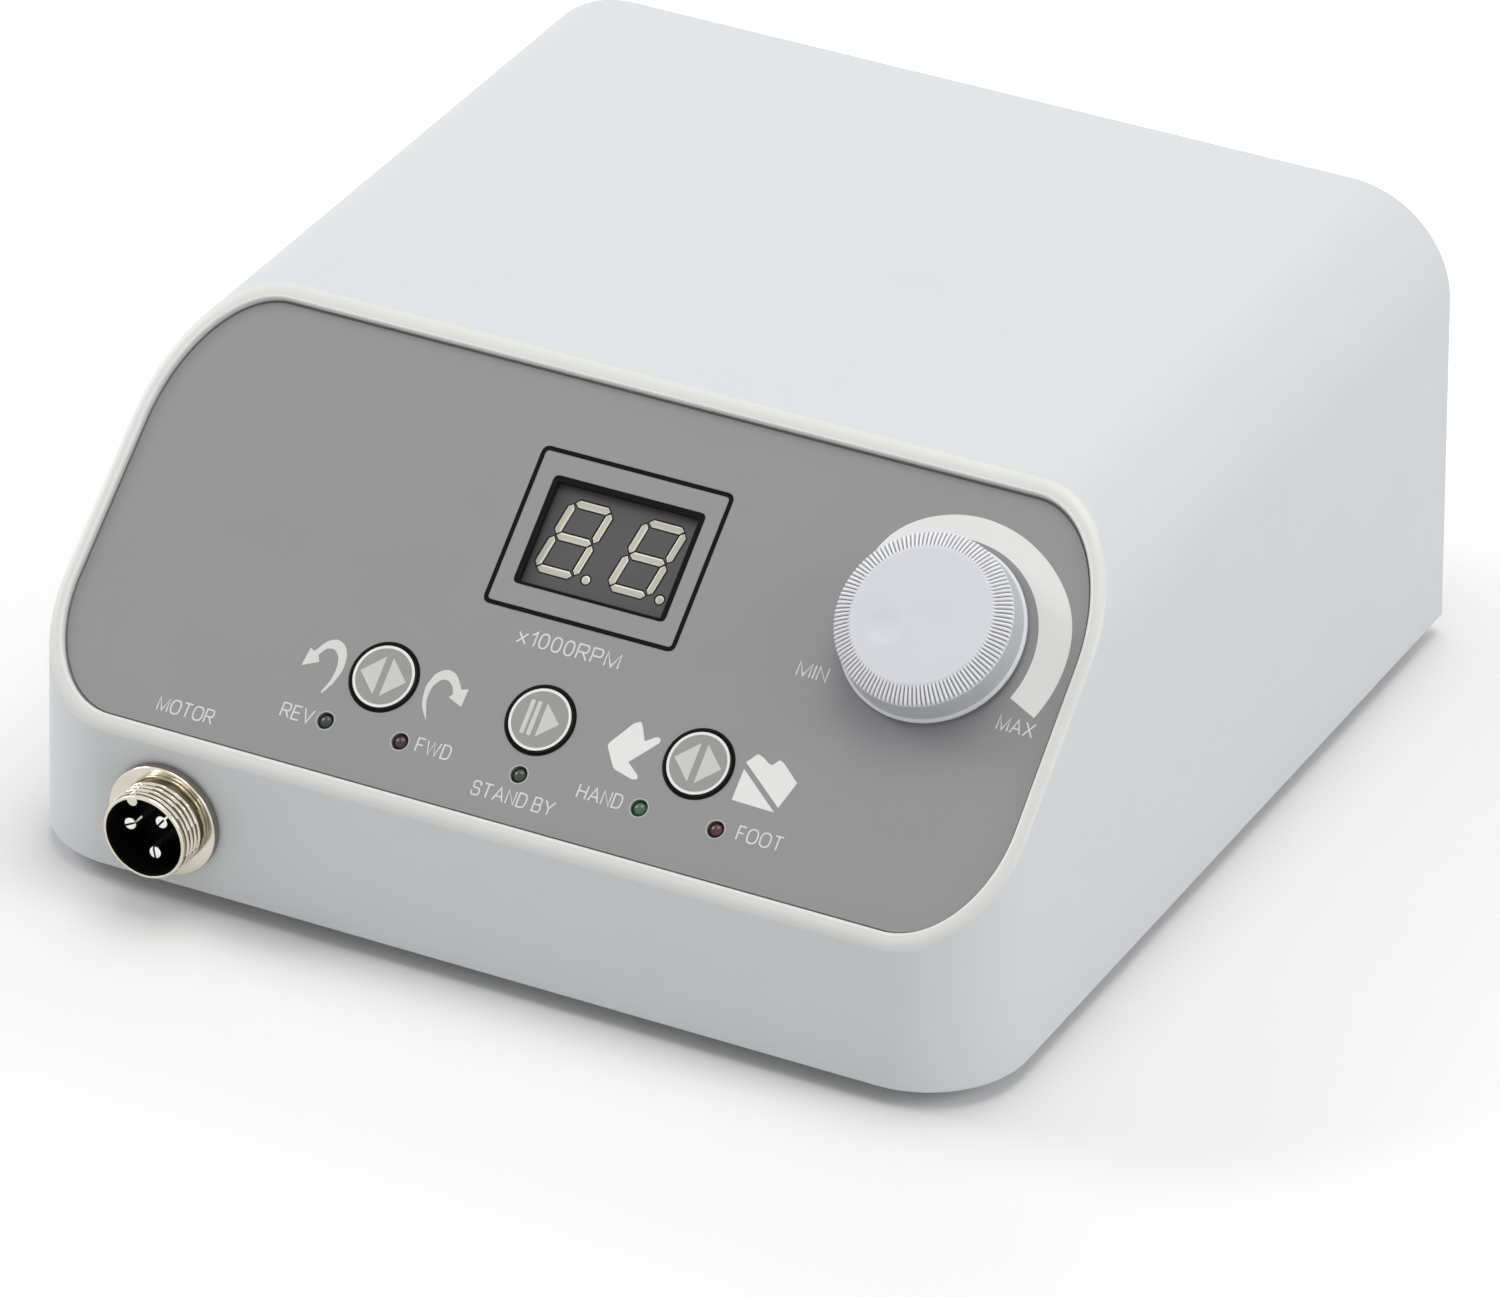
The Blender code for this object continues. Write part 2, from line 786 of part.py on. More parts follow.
def make_feet(materials, housing):
    stem_top = base_thickness + seat_gap
    profile = [
        (0, -foot_height), (foot_radius - foot_chamfer, -foot_height),
        (foot_radius, -foot_height + foot_chamfer), (foot_radius, -seat_gap), (foot_stem_radius, -seat_gap),
        (foot_stem_radius, stem_top), (foot_cap_radius, stem_top),
        (foot_stem_radius, stem_top + foot_chamfer), (0, stem_top + foot_chamfer)]
    names = ("foot_front_left", "foot_front_right", "foot_rear_left", "foot_rear_right")
    for name, (x, y) in zip(names, foot_places()):
        piece(name, turned(profile, hidden_steps), materials["rubber"], housing, (x, y, 0))


def make_case_screws(materials, housing):
    seat = recess_depth - seat_gap
    tip = base_top + screw_length - screw_head_height
    profile = [
        (0, seat - screw_head_height), (screw_head_radius, seat - screw_head_height),
        (screw_head_radius, seat), (screw_shank_radius, seat), (screw_shank_radius, base_top),
        (screw_engagement_radius, base_top + seat_gap), (screw_engagement_radius, tip), (0, tip)]
    names = ("case_screw_1", "case_screw_2", "case_screw_3", "case_screw_4")
    for name, (x, y) in zip(names, case_post_places()):
        piece(name, turned(profile, small_steps), materials["steel"], housing, (x, y, 0))


# Fascia pieces

def make_overlay(materials, fascia):
    outline = inset_outline(fascia_outline(), lip_width + seat_gap)
    holes = [rectangle(window_width, window_height, (panel_centre_x, display_y), window_corner)]
    holes += [circle(key_hole_radius, round_steps, p) for p in key_places()]
    holes += [circle(lamp_hole_radius, small_steps, p) for p in lamp_places()]
    nut_clear = pot_nut_flats / math.sqrt(3) + pot_nut_clearance
    holes.append(circle(nut_clear, hidden_steps, (knob_x, knob_y)))
    return plate("control_overlay", outline, holes, -overlay_thickness, 0, materials["overlay"], fascia)


def bar(start, end, width, mitre):
    # One display segment: a bar with pointed ends between two corners of the digit
    axis = (end - start).normalized()
    across = Vector((-axis.y, axis.x)) * (width / 2)
    a = start + axis * mitre
    b = end - axis * mitre
    step = axis * (width / 2)
    corners = (a, a + step - across, b - step - across, b, b - step + across, a + step + across)
    return [tuple(corner) for corner in corners]


def digit_segments(centre_x, shrink):
    half_height = (digit_height - segment_width) / 2
    half = (digit_width - segment_width) / 2
    width = segment_width - 2 * shrink
    mitre = segment_mitre + shrink

    def corner(sx, level):
        y = level * half_height
        return Vector((centre_x + sx * half + y * math.tan(digit_slant), digit_shift_y + y))

    pairs = [((-1, 1), (1, 1)), ((-1, 0), (1, 0)), ((-1, -1), (1, -1)),
             ((-1, -1), (-1, 0)), ((-1, 0), (-1, 1)), ((1, -1), (1, 0)), ((1, 0), (1, 1))]
    loops = [bar(corner(*low), corner(*high), width, mitre) for low, high in pairs]
    point = (centre_x + point_shift, digit_shift_y - half_height)
    loops.append(circle(point_radius - shrink, tiny_steps, point))
    return loops


def display_loops(shrink):
    left = digit_segments(-digit_shift_x - digit_pitch / 2, shrink)
    right = digit_segments(digit_pitch / 2 - digit_shift_x, shrink)
    return left + right


def make_display(materials, fascia):
    place_ = (panel_centre_x, display_y, display_top)
    shell = prism([rectangle(display_width, display_height)], -display_depth, 0)
    hollow_size = (display_width - 2 * display_wall, display_height - 2 * display_wall)
    hollow = prism([rectangle(*hollow_size)], -display_depth - overrun, -display_face)
    slots = merge(*[prism([loop], -display_face - overrun, overrun) for loop in display_loops(0)])
    housing = piece("display_housing", shell, materials["dark"], fascia, place_)
    cut(housing, tool("display_hollow_cutter", hollow, fascia, place_),
        tool("display_slot_cutter", slots, fascia, place_))
    back_low = -display_face - seat_gap - diffuser_thickness
    back_size = (hollow_size[0] - 2 * seat_gap, hollow_size[1] - 2 * seat_gap)
    back = prism([rectangle(*back_size)], back_low, -display_face - seat_gap)
    middle = -display_face - seat_gap - diffuser_thickness / 2
    bars = merge(*[prism([loop], middle, -segment_gap) for loop in display_loops(segment_gap)])
    diffuser = piece("display_diffuser", back, materials["cream"], fascia, place_)
    unite(diffuser, tool("segment_bars", bars, fascia, place_))


def make_keys(materials, fascia):
    cap_radius = key_hole_radius - slide_gap
    flange_top = floor_bottom - seat_gap
    flange_low = flange_top - key_flange_thickness
    tip = flange_low - key_stem_reach + key_flange_thickness
    profile = [
        (0, key_rise), (cap_radius - key_edge_round, key_rise), (cap_radius, key_rise - key_edge_round),
        (cap_radius, flange_top), (cap_radius + key_flange, flange_top),
        (cap_radius + key_flange, flange_low), (key_stem_radius, flange_low), (key_stem_radius, tip),
        (0, tip)]
    names = ("direction_key", "start_key", "control_key")
    for name, (x, y) in zip(names, key_places()):
        piece(name, turned(profile, key_steps), materials["key"], fascia, (x, y, 0))
    return tip


def make_switches(materials, fascia, stem_tip):
    low = board_top + seat_gap
    well_floor = stem_tip - key_travel - seat_gap
    names = ("direction_switch", "start_switch", "control_switch")
    for name, (x, y) in zip(names, key_places()):
        body = block(switch_size, switch_size, low, low + switch_height)
        well = prism([circle(switch_well_radius, tiny_steps)], well_floor, low + switch_height + overrun)
        switch = piece(name, body, materials["black"], fascia, (x, y, 0))
        cut(switch, tool(name + "_well", well, fascia, (x, y, 0)))


def make_lamps(materials, fascia):
    dome = [(lamp_radius * math.cos(t), lamp_rise - lamp_radius + lamp_radius * math.sin(t))
            for t in (math.pi / 2 * k / dome_rings for k in range(dome_rings, -1, -1))]
    flange_top = floor_bottom - seat_gap
    flange_low = flange_top - lamp_flange_thickness
    profile = dome + [
        (lamp_radius, flange_top), (lamp_flange_radius, flange_top), (lamp_flange_radius, flange_low),
        (0, flange_low)]
    names = ("lamp_reverse", "lamp_forward", "lamp_standby", "lamp_hand", "lamp_foot")
    lenses = ("green_lens", "red_lens", "green_lens", "green_lens", "red_lens")
    for name, lens, (x, y) in zip(names, lenses, lamp_places()):
        lamp = piece(name, turned(profile, small_steps), materials[lens], fascia, (x, y, 0))
        leads = merge(*[
            block(lead_width, lead_width, board_top + seat_gap, flange_low + lamp_flange_thickness / 2,
                  (side * lead_spacing / 2, 0))
            for side in (-1, 1)])
        unite(lamp, tool(name + "_leads", leads, fascia, (x, y, 0)))


def make_control_board(materials, fascia):
    middle = (panel_centre_x, control_board_inset + control_board_height / 2)
    outline = rectangle(control_board_width, control_board_height, middle, board_post_inset / 2)
    holes = [circle(pilot_radius, tiny_steps, p) for p in board_post_places()]
    under = board_top - board_thickness
    plate("control_board", outline, holes, under, board_top, materials["laminate"], fascia)


def grooved_rim(bm):
    # Every second point round the rim sinks, so that the bevel carries radial grooves
    for vert in bm.verts:
        radius = math.hypot(vert.co.x, vert.co.y)
        if radius < (face_radius + rim_radius) / 2 or vert.co.z < rim_height - rim_land:
            continue
        step = round(math.atan2(vert.co.y, vert.co.x) / math.pi * groove_count)
        if step % 2:
            vert.co.z -= groove_depth


def thin_skirt(bm):
    # Below the grooves one column in a few is enough
    spare = []
    for edge in bm.edges:
        low, high = edge.verts
        turn_low = math.atan2(low.co.y, low.co.x)
        turn_high = math.atan2(high.co.y, high.co.x)
        upright = abs(turn_low - turn_high) < math.pi / groove_count / 2
        below = min(low.co.z, high.co.z) < rim_height - rim_land - groove_depth / 2
        step = round(turn_low / math.pi * groove_count)
        if upright and below and step % skirt_thinning:
            spare.append(edge)
    bmesh.ops.dissolve_edges(bm, edges=spare, use_verts=True)


def make_knob(materials, fascia):
    low = knob_float
    profile = [
        (0, face_height), (face_radius, face_height), (rim_radius, rim_height),
        (rim_radius + rim_land / 4, rim_height - rim_land - groove_depth),
        (skirt_radius, low + knob_flange), (knob_radius, low + knob_flange / 2), (knob_radius, low),
        (0, low)]
    body = turned(profile, 2 * groove_count)
    grooved_rim(body)
    thin_skirt(body)
    place_ = (knob_x, knob_y, 0)
    turn = (0, 0, knob_rest_angle)
    knob = piece("speed_knob", body, materials["shell"], fascia, place_, turn)
    ceiling = face_height - 2 * knob_wall
    hub_low = pot_bush_rise + knob_hub_gap
    bore_radius = shaft_radius + shaft_fit
    bore_top = face_height - knob_wall
    hollow = turned([
        (0, low - overrun), (skirt_radius - knob_wall, low - overrun), (rim_radius - knob_wall, ceiling),
        (knob_hub_radius, ceiling), (knob_hub_radius, hub_low), (bore_radius, hub_low),
        (bore_radius, bore_top), (0, bore_top)], round_steps)
    hollow_tool = tool("knob_hollow_cutter", hollow, fascia, place_, turn)
    sphere = (dimple_radius ** 2 + dimple_depth ** 2) / (2 * dimple_depth)
    spread = math.asin(dimple_radius / sphere)
    lens = [(sphere * math.sin(spread * k / dimple_rings),
             sphere - dimple_depth - sphere * math.cos(spread * k / dimple_rings))
            for k in range(dimple_rings + 1)]
    lens += [(dimple_radius, overrun), (0, overrun)]
    offset = Vector((math.cos(knob_rest_angle), math.sin(knob_rest_angle), 0)) * dimple_offset
    dimple_place = (knob_x + offset.x, knob_y + offset.y, face_height)
    dimple_tool = tool("knob_dimple_cutter", turned(lens, key_steps), fascia, dimple_place)
    cut(knob, hollow_tool, dimple_tool)
    shaft_low = floor_bottom - seat_gap - pot_shaft_entry
    shaft_top = bore_top - shaft_end_gap
    chamfer = shaft_radius / 6
    shaft = turned([
        (0, shaft_low), (shaft_radius, shaft_low), (shaft_radius, shaft_top - chamfer),
        (shaft_radius - chamfer, shaft_top), (0, shaft_top)], hidden_steps)
    piece("pot_shaft", shaft, materials["steel"], fascia, place_, turn)


def make_potentiometer(materials, fascia):
    place_ = (knob_x, knob_y, 0)
    case_top = floor_bottom - seat_gap
    bore = shaft_radius + shaft_fit
    bore_floor = case_top - pot_shaft_entry - seat_gap
    case = turned([
        (0, bore_floor), (bore, bore_floor), (bore, pot_bush_rise), (pot_bush_radius, pot_bush_rise),
        (pot_bush_radius, case_top), (pot_radius, case_top), (pot_radius, case_top - pot_depth),
        (0, case_top - pot_depth)], hidden_steps)
    piece("pot_case", case, materials["steel"], fascia, place_)
    nut_low = floor_top + seat_gap
    nut_loops = [hexagon(pot_nut_flats), circle(pot_bush_radius + seat_gap, tiny_steps)]
    nut = prism(nut_loops, nut_low, nut_low + pot_nut_height)
    piece("pot_nut", nut, materials["nickel"], fascia, place_)


# Round sockets: the motor's on the front and the pedal's on the rear

def make_round_socket(materials, parent, place_, turn, sizes):
    name = sizes["name"]
    flange_top = seat_gap + sizes["flange_thickness"]
    rim = flange_top + sizes["thread_length"]
    rear = -sizes["rear_length"]
    bore = sizes["bore_radius"]
    thread = sizes["thread_radius"]
    flange = sizes["flange_radius"]
    barrel = sizes["rear_radius"]
    shell = turned([
        (bore, rim), (thread - socket_chamfer, rim), (thread, rim - socket_chamfer), (thread, flange_top),
        (flange - socket_chamfer, flange_top), (flange, flange_top - socket_chamfer), (flange, seat_gap),
        (barrel, seat_gap), (barrel, rear), (bore, rear)], sizes["steps"])
    rotation = (0, 0, turn)
    ridge_place = (bore - polarising_inset, 0)
    ridge_low = rim - sizes["cup_depth"] / 2
    shell_item = piece(name + "_socket_shell", shell, materials["nickel"], parent, place_, rotation)
    ridge = prism([circle(polarising_radius, small_steps, ridge_place)], ridge_low, rim - sleeve_setback)
    unite(shell_item, tool(name + "_ridge", ridge, parent, place_, rotation))
    sleeve = bore - slide_gap
    floor = rim - sizes["cup_depth"]
    cup_top = rim - sleeve_setback
    insert = turned([
        (0, floor), (sleeve - sleeve_wall, floor), (sleeve - sleeve_wall, cup_top), (sleeve, cup_top),
        (sleeve, rear), (0, rear)], sizes["steps"])
    insert_item = piece(name + "_socket_insert", insert, materials["black"], parent, place_, rotation)
    channel_loop = circle(polarising_radius + seat_gap, small_steps, ridge_place)
    channel = prism([channel_loop], ridge_low - seat_gap, rim + overrun)
    count = sizes["pin_count"]
    angles = [math.pi / count + 2 * math.pi * k / count for k in range(count)]
    centres = [(sizes["pin_circle"] * math.cos(a), sizes["pin_circle"] * math.sin(a)) for a in angles]
    pin_radius = sizes["pin_radius"]
    holes = merge(*[
        prism([circle(pin_radius + seat_gap, small_steps, c)], rear - overrun, floor + overrun)
        for c in centres])
    cut(insert_item, tool(name + "_channel_cutter", channel, parent, place_, rotation),
        tool(name + "_pin_hole_cutter", holes, parent, place_, rotation))
    tip = rim - pin_setback
    pin_profile = [
        (0, tip), (pin_radius / 2, tip), (pin_radius, tip - pin_radius / 2),
        (pin_radius, rear - solder_tail), (0, rear - solder_tail)]
    for k, (x, y) in enumerate(centres):
        location = Vector(place_) + Matrix.Rotation(turn, 3, "Z") @ Vector((x, y, 0))
        pin_name = name + "_pin_" + str(k + 1)
        pin_mesh = turned(pin_profile, small_steps)
        pin = piece(pin_name, pin_mesh, materials["nickel"], parent, location, rotation)
        slot = block(pin_slot_width, 4 * pin_radius, tip - pin_slot_depth, tip + overrun)
        cut(pin, tool(pin_name + "_slot", slot, parent, location, rotation))
    nut_top = -sizes["panel"] - seat_gap
    nut_loops = [hexagon(sizes["nut_flats"]), circle(barrel + seat_gap, hidden_steps)]
    nut = prism(nut_loops, nut_top - sizes["nut_thickness"], nut_top)
    piece(name + "_socket_nut", nut, materials["nickel"], parent, place_)


def motor_sizes():
    return {
        "name": "motor", "flange_radius": motor_flange_radius, "flange_thickness": motor_flange_thickness,
        "thread_radius": motor_thread_radius, "thread_length": motor_thread_length,
        "rear_radius": motor_rear_radius, "rear_length": motor_rear_length, "bore_radius": motor_bore_radius,
        "cup_depth": motor_cup_depth, "pin_circle": motor_pin_circle, "pin_radius": motor_pin_radius,
        "pin_count": motor_pin_count, "nut_flats": motor_nut_flats, "nut_thickness": motor_nut_thickness,
        "panel": motor_wall, "steps": fine_steps}


def pedal_sizes():
    return {
        "name": "pedal", "flange_radius": pedal_flange_radius, "flange_thickness": pedal_flange_thickness,
        "thread_radius": pedal_thread_radius, "thread_length": pedal_thread_length,
        "rear_radius": pedal_rear_radius, "rear_length": pedal_rear_length, "bore_radius": pedal_bore_radius,
        "cup_depth": pedal_cup_depth, "pin_circle": pedal_pin_circle, "pin_radius": pedal_pin_radius,
        "pin_count": pedal_pin_count, "nut_flats": pedal_nut_flats, "nut_thickness": pedal_nut_thickness,
        "panel": panel_thickness, "steps": key_steps}


# Mains fittings on the rear panel

def inlet_mouth():
    half = inlet_mouth_width / 2
    top = inlet_mouth_height / 2
    shoulder = inlet_mouth_chamfer
    return [(-half, -top), (half, -top), (half, top - shoulder), (half - shoulder, top),
            (-half + shoulder, top), (-half, top - shoulder)]


def make_inlet(materials, rear):
    place_ = (-inlet_x, inlet_z, 0)
    flange_top = seat_gap + inlet_flange_thickness
    body = prism([rectangle(inlet_body_width, inlet_body_height)], -inlet_body_depth, flange_top / 2)
    flange_loop = rectangle(inlet_flange_width, inlet_flange_height, (0, 0), inlet_corner)
    flange = prism([flange_loop], seat_gap, flange_top)
    inlet = piece("power_inlet", body, materials["black"], rear, place_)
    mouth_floor = flange_top - inlet_mouth_depth
    mouth = prism([inlet_mouth()], mouth_floor, flange_top + overrun)
    places = [(-blade_spacing / 2, -blade_offset), (blade_spacing / 2, -blade_offset), (0, blade_offset)]
    slots = merge(*[
        block(blade_width + 2 * seat_gap, blade_height + 2 * seat_gap, -inlet_body_depth - overrun,
              mouth_floor + overrun, p)
        for p in places])
    unite(inlet, tool("inlet_flange", flange, rear, place_))
    cut(inlet, tool("inlet_mouth_cutter", mouth, rear, place_),
        tool("inlet_slot_cutter", slots, rear, place_))
    names = ("inlet_blade_line", "inlet_blade_neutral", "inlet_blade_earth")
    for name, (x, y) in zip(names, places):
        back = -inlet_body_depth - blade_tail
        blade = block(blade_width, blade_height, back, flange_top - blade_setback)
        piece(name, blade, materials["nickel"], rear, (place_[0] + x, place_[1] + y, 0))


def make_power_switch(materials, rear):
    place_ = (-rocker_x, rocker_z, 0)
    flange_top = seat_gap + rocker_frame_thickness
    body = prism([rectangle(rocker_body_width, rocker_body_height)], -rocker_body_depth, flange_top / 2)
    flange_loop = rectangle(rocker_frame_width, rocker_frame_height, (0, 0), rocker_corner)
    flange = prism([flange_loop], seat_gap, flange_top)
    switch = piece("switch_frame", body, materials["black"], rear, place_)
    well_loop = rectangle(rocker_mouth_width, rocker_mouth_height)
    well = prism([well_loop], -rocker_well_depth, flange_top + overrun)
    pivot_z = flange_top - rocker_pivot_depth
    bearing_length = rocker_mouth_width + 2 * (trunnion_length + seat_gap)
    bearing_loop = circle(trunnion_radius + seat_gap, tiny_steps)
    bearing = prism([bearing_loop], -bearing_length / 2, bearing_length / 2)
    pivot = (place_[0], place_[1], pivot_z)
    across = (0, math.pi / 2, 0)
    unite(switch, tool("switch_flange", flange, rear, place_))
    cut(switch, tool("rocker_well_cutter", well, rear, place_),
        tool("rocker_bearing_cutter", bearing, rear, pivot, across))
    width = rocker_mouth_width - 2 * slide_gap
    half = rocker_length / 2
    turns = [belly_spread * (k / belly_half_steps - 1) for k in range(2 * belly_half_steps + 1)]
    belly = [(rocker_belly * math.sin(t), -rocker_belly * math.cos(t)) for t in turns]
    side = [(-half, rocker_end_rise)] + belly + [(half, rocker_end_rise), (0, rocker_centre_rise)]
    rocker_mesh = prism([side], -width / 2, width / 2)
    pins_length = width + 2 * trunnion_length
    pins = prism([circle(trunnion_radius, tiny_steps)], -pins_length / 2, pins_length / 2)
    # The side outline's x lies along local Y, and the prism's length along local X
    turn = Matrix(((0, 0, 1), (1, 0, 0), (0, 1, 0))).to_euler()
    stand = frame("rocker_pivot", rear, pivot, (rocker_tilt, 0, 0))
    rocker = piece("power_rocker", rocker_mesh, materials["black"], stand, (0, 0, 0), turn)
    unite(rocker, tool("rocker_pins", pins, stand, (0, 0, 0), turn))


def make_fuse_holder(materials, rear):
    place_ = (-fuse_x, fuse_z, 0)
    flange_top = seat_gap + fuse_flange_thickness
    mouth_floor = flange_top - fuse_mouth_depth
    back = -fuse_body_length
    bore_floor = back + fuse_bore_floor
    holder = turned([
        (0, bore_floor), (fuse_bore_radius, bore_floor), (fuse_bore_radius, mouth_floor),
        (fuse_mouth_radius, mouth_floor), (fuse_mouth_radius, flange_top), (fuse_flange_radius, flange_top),
        (fuse_flange_radius, seat_gap), (fuse_body_radius, seat_gap), (fuse_body_radius, back),
        (0, back)], key_steps)
    piece("fuse_holder", holder, materials["black"], rear, place_)
    cap_radius = fuse_mouth_radius - slide_gap
    cap_top = flange_top + fuse_cap_rise
    cap_low = mouth_floor + seat_gap
    fuse_top = cap_low - seat_gap
    edge = fuse_cap_slot_depth / 2
    cap = turned([
        (0, cap_top), (cap_radius - edge, cap_top), (cap_radius, cap_top - edge), (cap_radius, cap_low),
        (0, cap_low)], key_steps)
    cap_item = piece("fuse_cap", cap, materials["black"], rear, place_)
    slot = block(fuse_cap_slot_width, 3 * cap_radius, cap_top - fuse_cap_slot_depth, cap_top + overrun)
    cut(cap_item, tool("fuse_cap_slot", slot, rear, place_))
    low = fuse_top - fuse_length
    glass = fuse_radius - fuse_end_step
    lower_cap = low + fuse_end_length
    upper_cap = fuse_top - fuse_end_length
    cartridge = turned([
        (0, low), (fuse_radius, low), (fuse_radius, lower_cap), (glass, lower_cap), (glass, upper_cap),
        (fuse_radius, upper_cap), (fuse_radius, fuse_top), (0, fuse_top)], tiny_steps)
    piece("fuse_cartridge", cartridge, materials["glass"], rear, place_)


# Power electronics on the base

def make_main_board(materials, housing):
    low = base_top + standoff_height + seat_gap
    high = low + board_thickness
    reach_x = main_board_width / 2 - standoff_inset
    reach_y = main_board_depth / 2 - standoff_inset
    corners = [(main_board_x + sx * reach_x, main_board_y + sy * reach_y) for sx in (-1, 1) for sy in (-1, 1)]
    outline = rectangle(main_board_width, main_board_depth, (main_board_x, main_board_y))
    holes = [circle(pilot_radius, tiny_steps, p) for p in corners]
    plate("main_board", outline, holes, low, high, materials["laminate"], housing)
    posts = merge(*[
        prism([circle(standoff_radius, tiny_steps, p)], base_top / 2, base_top + standoff_height)
        for p in corners])
    return high, tool("base_standoffs", posts, housing)


def make_board_parts(materials, housing, board_high):
    low = board_high + seat_gap
    neck = capacitor_radius - capacitor_groove
    high = low + capacitor_height
    groove_z = low + capacitor_height / 8
    can = turned([
        (0, low), (capacitor_radius, low), (capacitor_radius, groove_z), (neck, groove_z + capacitor_groove),
        (capacitor_radius, groove_z + 2 * capacitor_groove), (capacitor_radius, high - capacitor_groove),
        (neck, high), (0, high)], hidden_steps)
    piece("filter_capacitor", can, materials["sleeve"], housing, (capacitor_x, capacitor_y, 0))
    half = rectifier_width / 2
    face = [(-half, 0), (half, 0), (half, rectifier_height),
            (-half + rectifier_chamfer, rectifier_height), (-half, rectifier_height - rectifier_chamfer)]
    rectifier = prism([face], -rectifier_thickness / 2, rectifier_thickness / 2)
    upright = (math.pi / 2, 0, 0)
    place_ = (rectifier_x, rectifier_y, low)
    piece("bridge_rectifier", rectifier, materials["black"], housing, place_, upright)
    sink = [(-sink_width / 2, 0), (sink_width / 2, 0)]
    pitch = sink_width / (sink_fin_count - 1 + sink_fin_share)
    fin = pitch * sink_fin_share
    for k in range(sink_fin_count):
        x = sink_width / 2 - k * pitch
        sink += [(x, sink_depth), (x - fin, sink_depth)]
        if k < sink_fin_count - 1:
            sink += [(x - fin, sink_back), (x - pitch, sink_back)]
    sink_item = prism([sink], low, low + sink_height)
    piece("heat_sink", sink_item, materials["aluminium"], housing, (sink_x, sink_y, 0))
    body_low = low + transistor_lead_length
    body = block(transistor_width, transistor_thickness, body_low, body_low + transistor_height)
    place_ = (sink_x, sink_y - transistor_thickness / 2 - seat_gap, 0)
    transistor = piece("power_transistor", body, materials["black"], housing, place_)
    leads = merge(*[
        block(lead_width, lead_width, low, body_low + transistor_thickness / 2, (side * lead_spacing, 0))
        for side in (-1, 0, 1)])
    unite(transistor, tool("transistor_leads", leads, housing, place_))


def make_transformer(materials, housing):
    low = base_top + transformer_pad_height + seat_gap
    upright = (math.pi / 2, 0, 0)
    outline = rectangle(core_width, core_height, (0, core_height / 2))
    window_height_ = core_height - 2 * core_limb
    limb_x = core_width / 2 - core_limb
    window_width_ = limb_x - core_limb
    middle_x = core_limb + window_width_ / 2
    windows = [rectangle(window_width_, window_height_, (side * middle_x, core_height / 2))
               for side in (-1, 1)]
    core = prism([outline] + windows, -core_stack / 2, core_stack / 2)
    piece("transformer_core", core, materials["iron"], housing, (core_x, core_y, low), upright)
    inner = (2 * core_limb + 2 * coil_gap, core_stack + 2 * coil_gap)
    outer = (inner[0] + 2 * coil_build, inner[1] + 2 * coil_build)
    coil_low = low + core_limb + coil_gap
    coil = prism([rectangle(*outer, (0, 0), coil_build / 2), rectangle(*inner)],
                 coil_low, coil_low + window_height_ - 2 * coil_gap)
    piece("transformer_coil", coil, materials["copper"], housing, (core_x, core_y, 0))
    reach = core_width / 2 - transformer_pad_width
    pads = merge(*[
        block(transformer_pad_width, core_stack, base_top / 2, base_top + transformer_pad_height,
              (core_x + side * reach, core_y))
        for side in (-1, 1)])
    return tool("transformer_pads", pads, housing)


# Leads inside the box

def bezier(start, start_handle, end_handle, end, count):
    return interpolate_bezier(Vector(start), Vector(start_handle), Vector(end_handle), Vector(end), count)


def make_ribbon(materials, housing, fascia_place, board_high):
    # A flat cable from the control board's underside down to the main board's front edge
    under = board_top - board_thickness - seat_gap
    along = Vector((0, math.cos(fascia_angle), math.sin(fascia_angle)))
    start = fascia_place + along * ribbon_start_y + knob_axis * under
    end = Vector((0, main_board_front + ribbon_end_inset, board_high + seat_gap))
    above = end + Vector((0, 0, ribbon_bend))
    path = bezier(start, start - knob_axis * ribbon_bend, above, end, lead_points)
    upper = []
    lower = []
    for k, point in enumerate(path):
        axis = (path[min(k + 1, lead_points - 1)] - path[max(k - 1, 0)]).normalized()
        if k == 0:
            axis = -knob_axis
        if k == lead_points - 1:
            axis = Vector((0, 0, -1))
        across = Vector((0, -axis.z, axis.y)) * (ribbon_thickness / 2)
        upper.append(((point + across).y, (point + across).z))
        lower.append(((point - across).y, (point - across).z))
    strip = prism([upper + list(reversed(lower))], -ribbon_width / 2, ribbon_width / 2)
    turn = Matrix(((0, 0, 1), (1, 0, 0), (0, 1, 0))).to_euler()
    piece("ribbon_cable", strip, materials["ribbon"], housing, (ribbon_x, 0, 0), turn)


def make_motor_lead(materials, housing, board_high):
    start = Vector((motor_socket_x, motor_rear_length + seat_gap, motor_socket_z))
    end = Vector((motor_socket_x, main_board_front + lead_end_inset, board_high + seat_gap))
    above = end + Vector((0, 0, lead_bend))
    path = bezier(start, start + Vector((0, lead_bend, 0)), above, end, lead_points)
    curve = bpy.data.curves.new("motor_lead", "CURVE")
    curve.dimensions = "3D"
    curve.bevel_depth = lead_radius
    curve.bevel_resolution = lead_sides_resolution
    curve.use_fill_caps = True
    spline = curve.splines.new("POLY")
    spline.points.add(len(path) - 1)
    for point, place_ in zip(spline.points, path):
        point.co = (*place_, 1.0)
    curve.materials.append(materials["sleeve"])
    lead = bpy.data.objects.new("motor_lead", curve)
    bpy.context.collection.objects.link(lead)
    lead.parent = housing


# Assembly

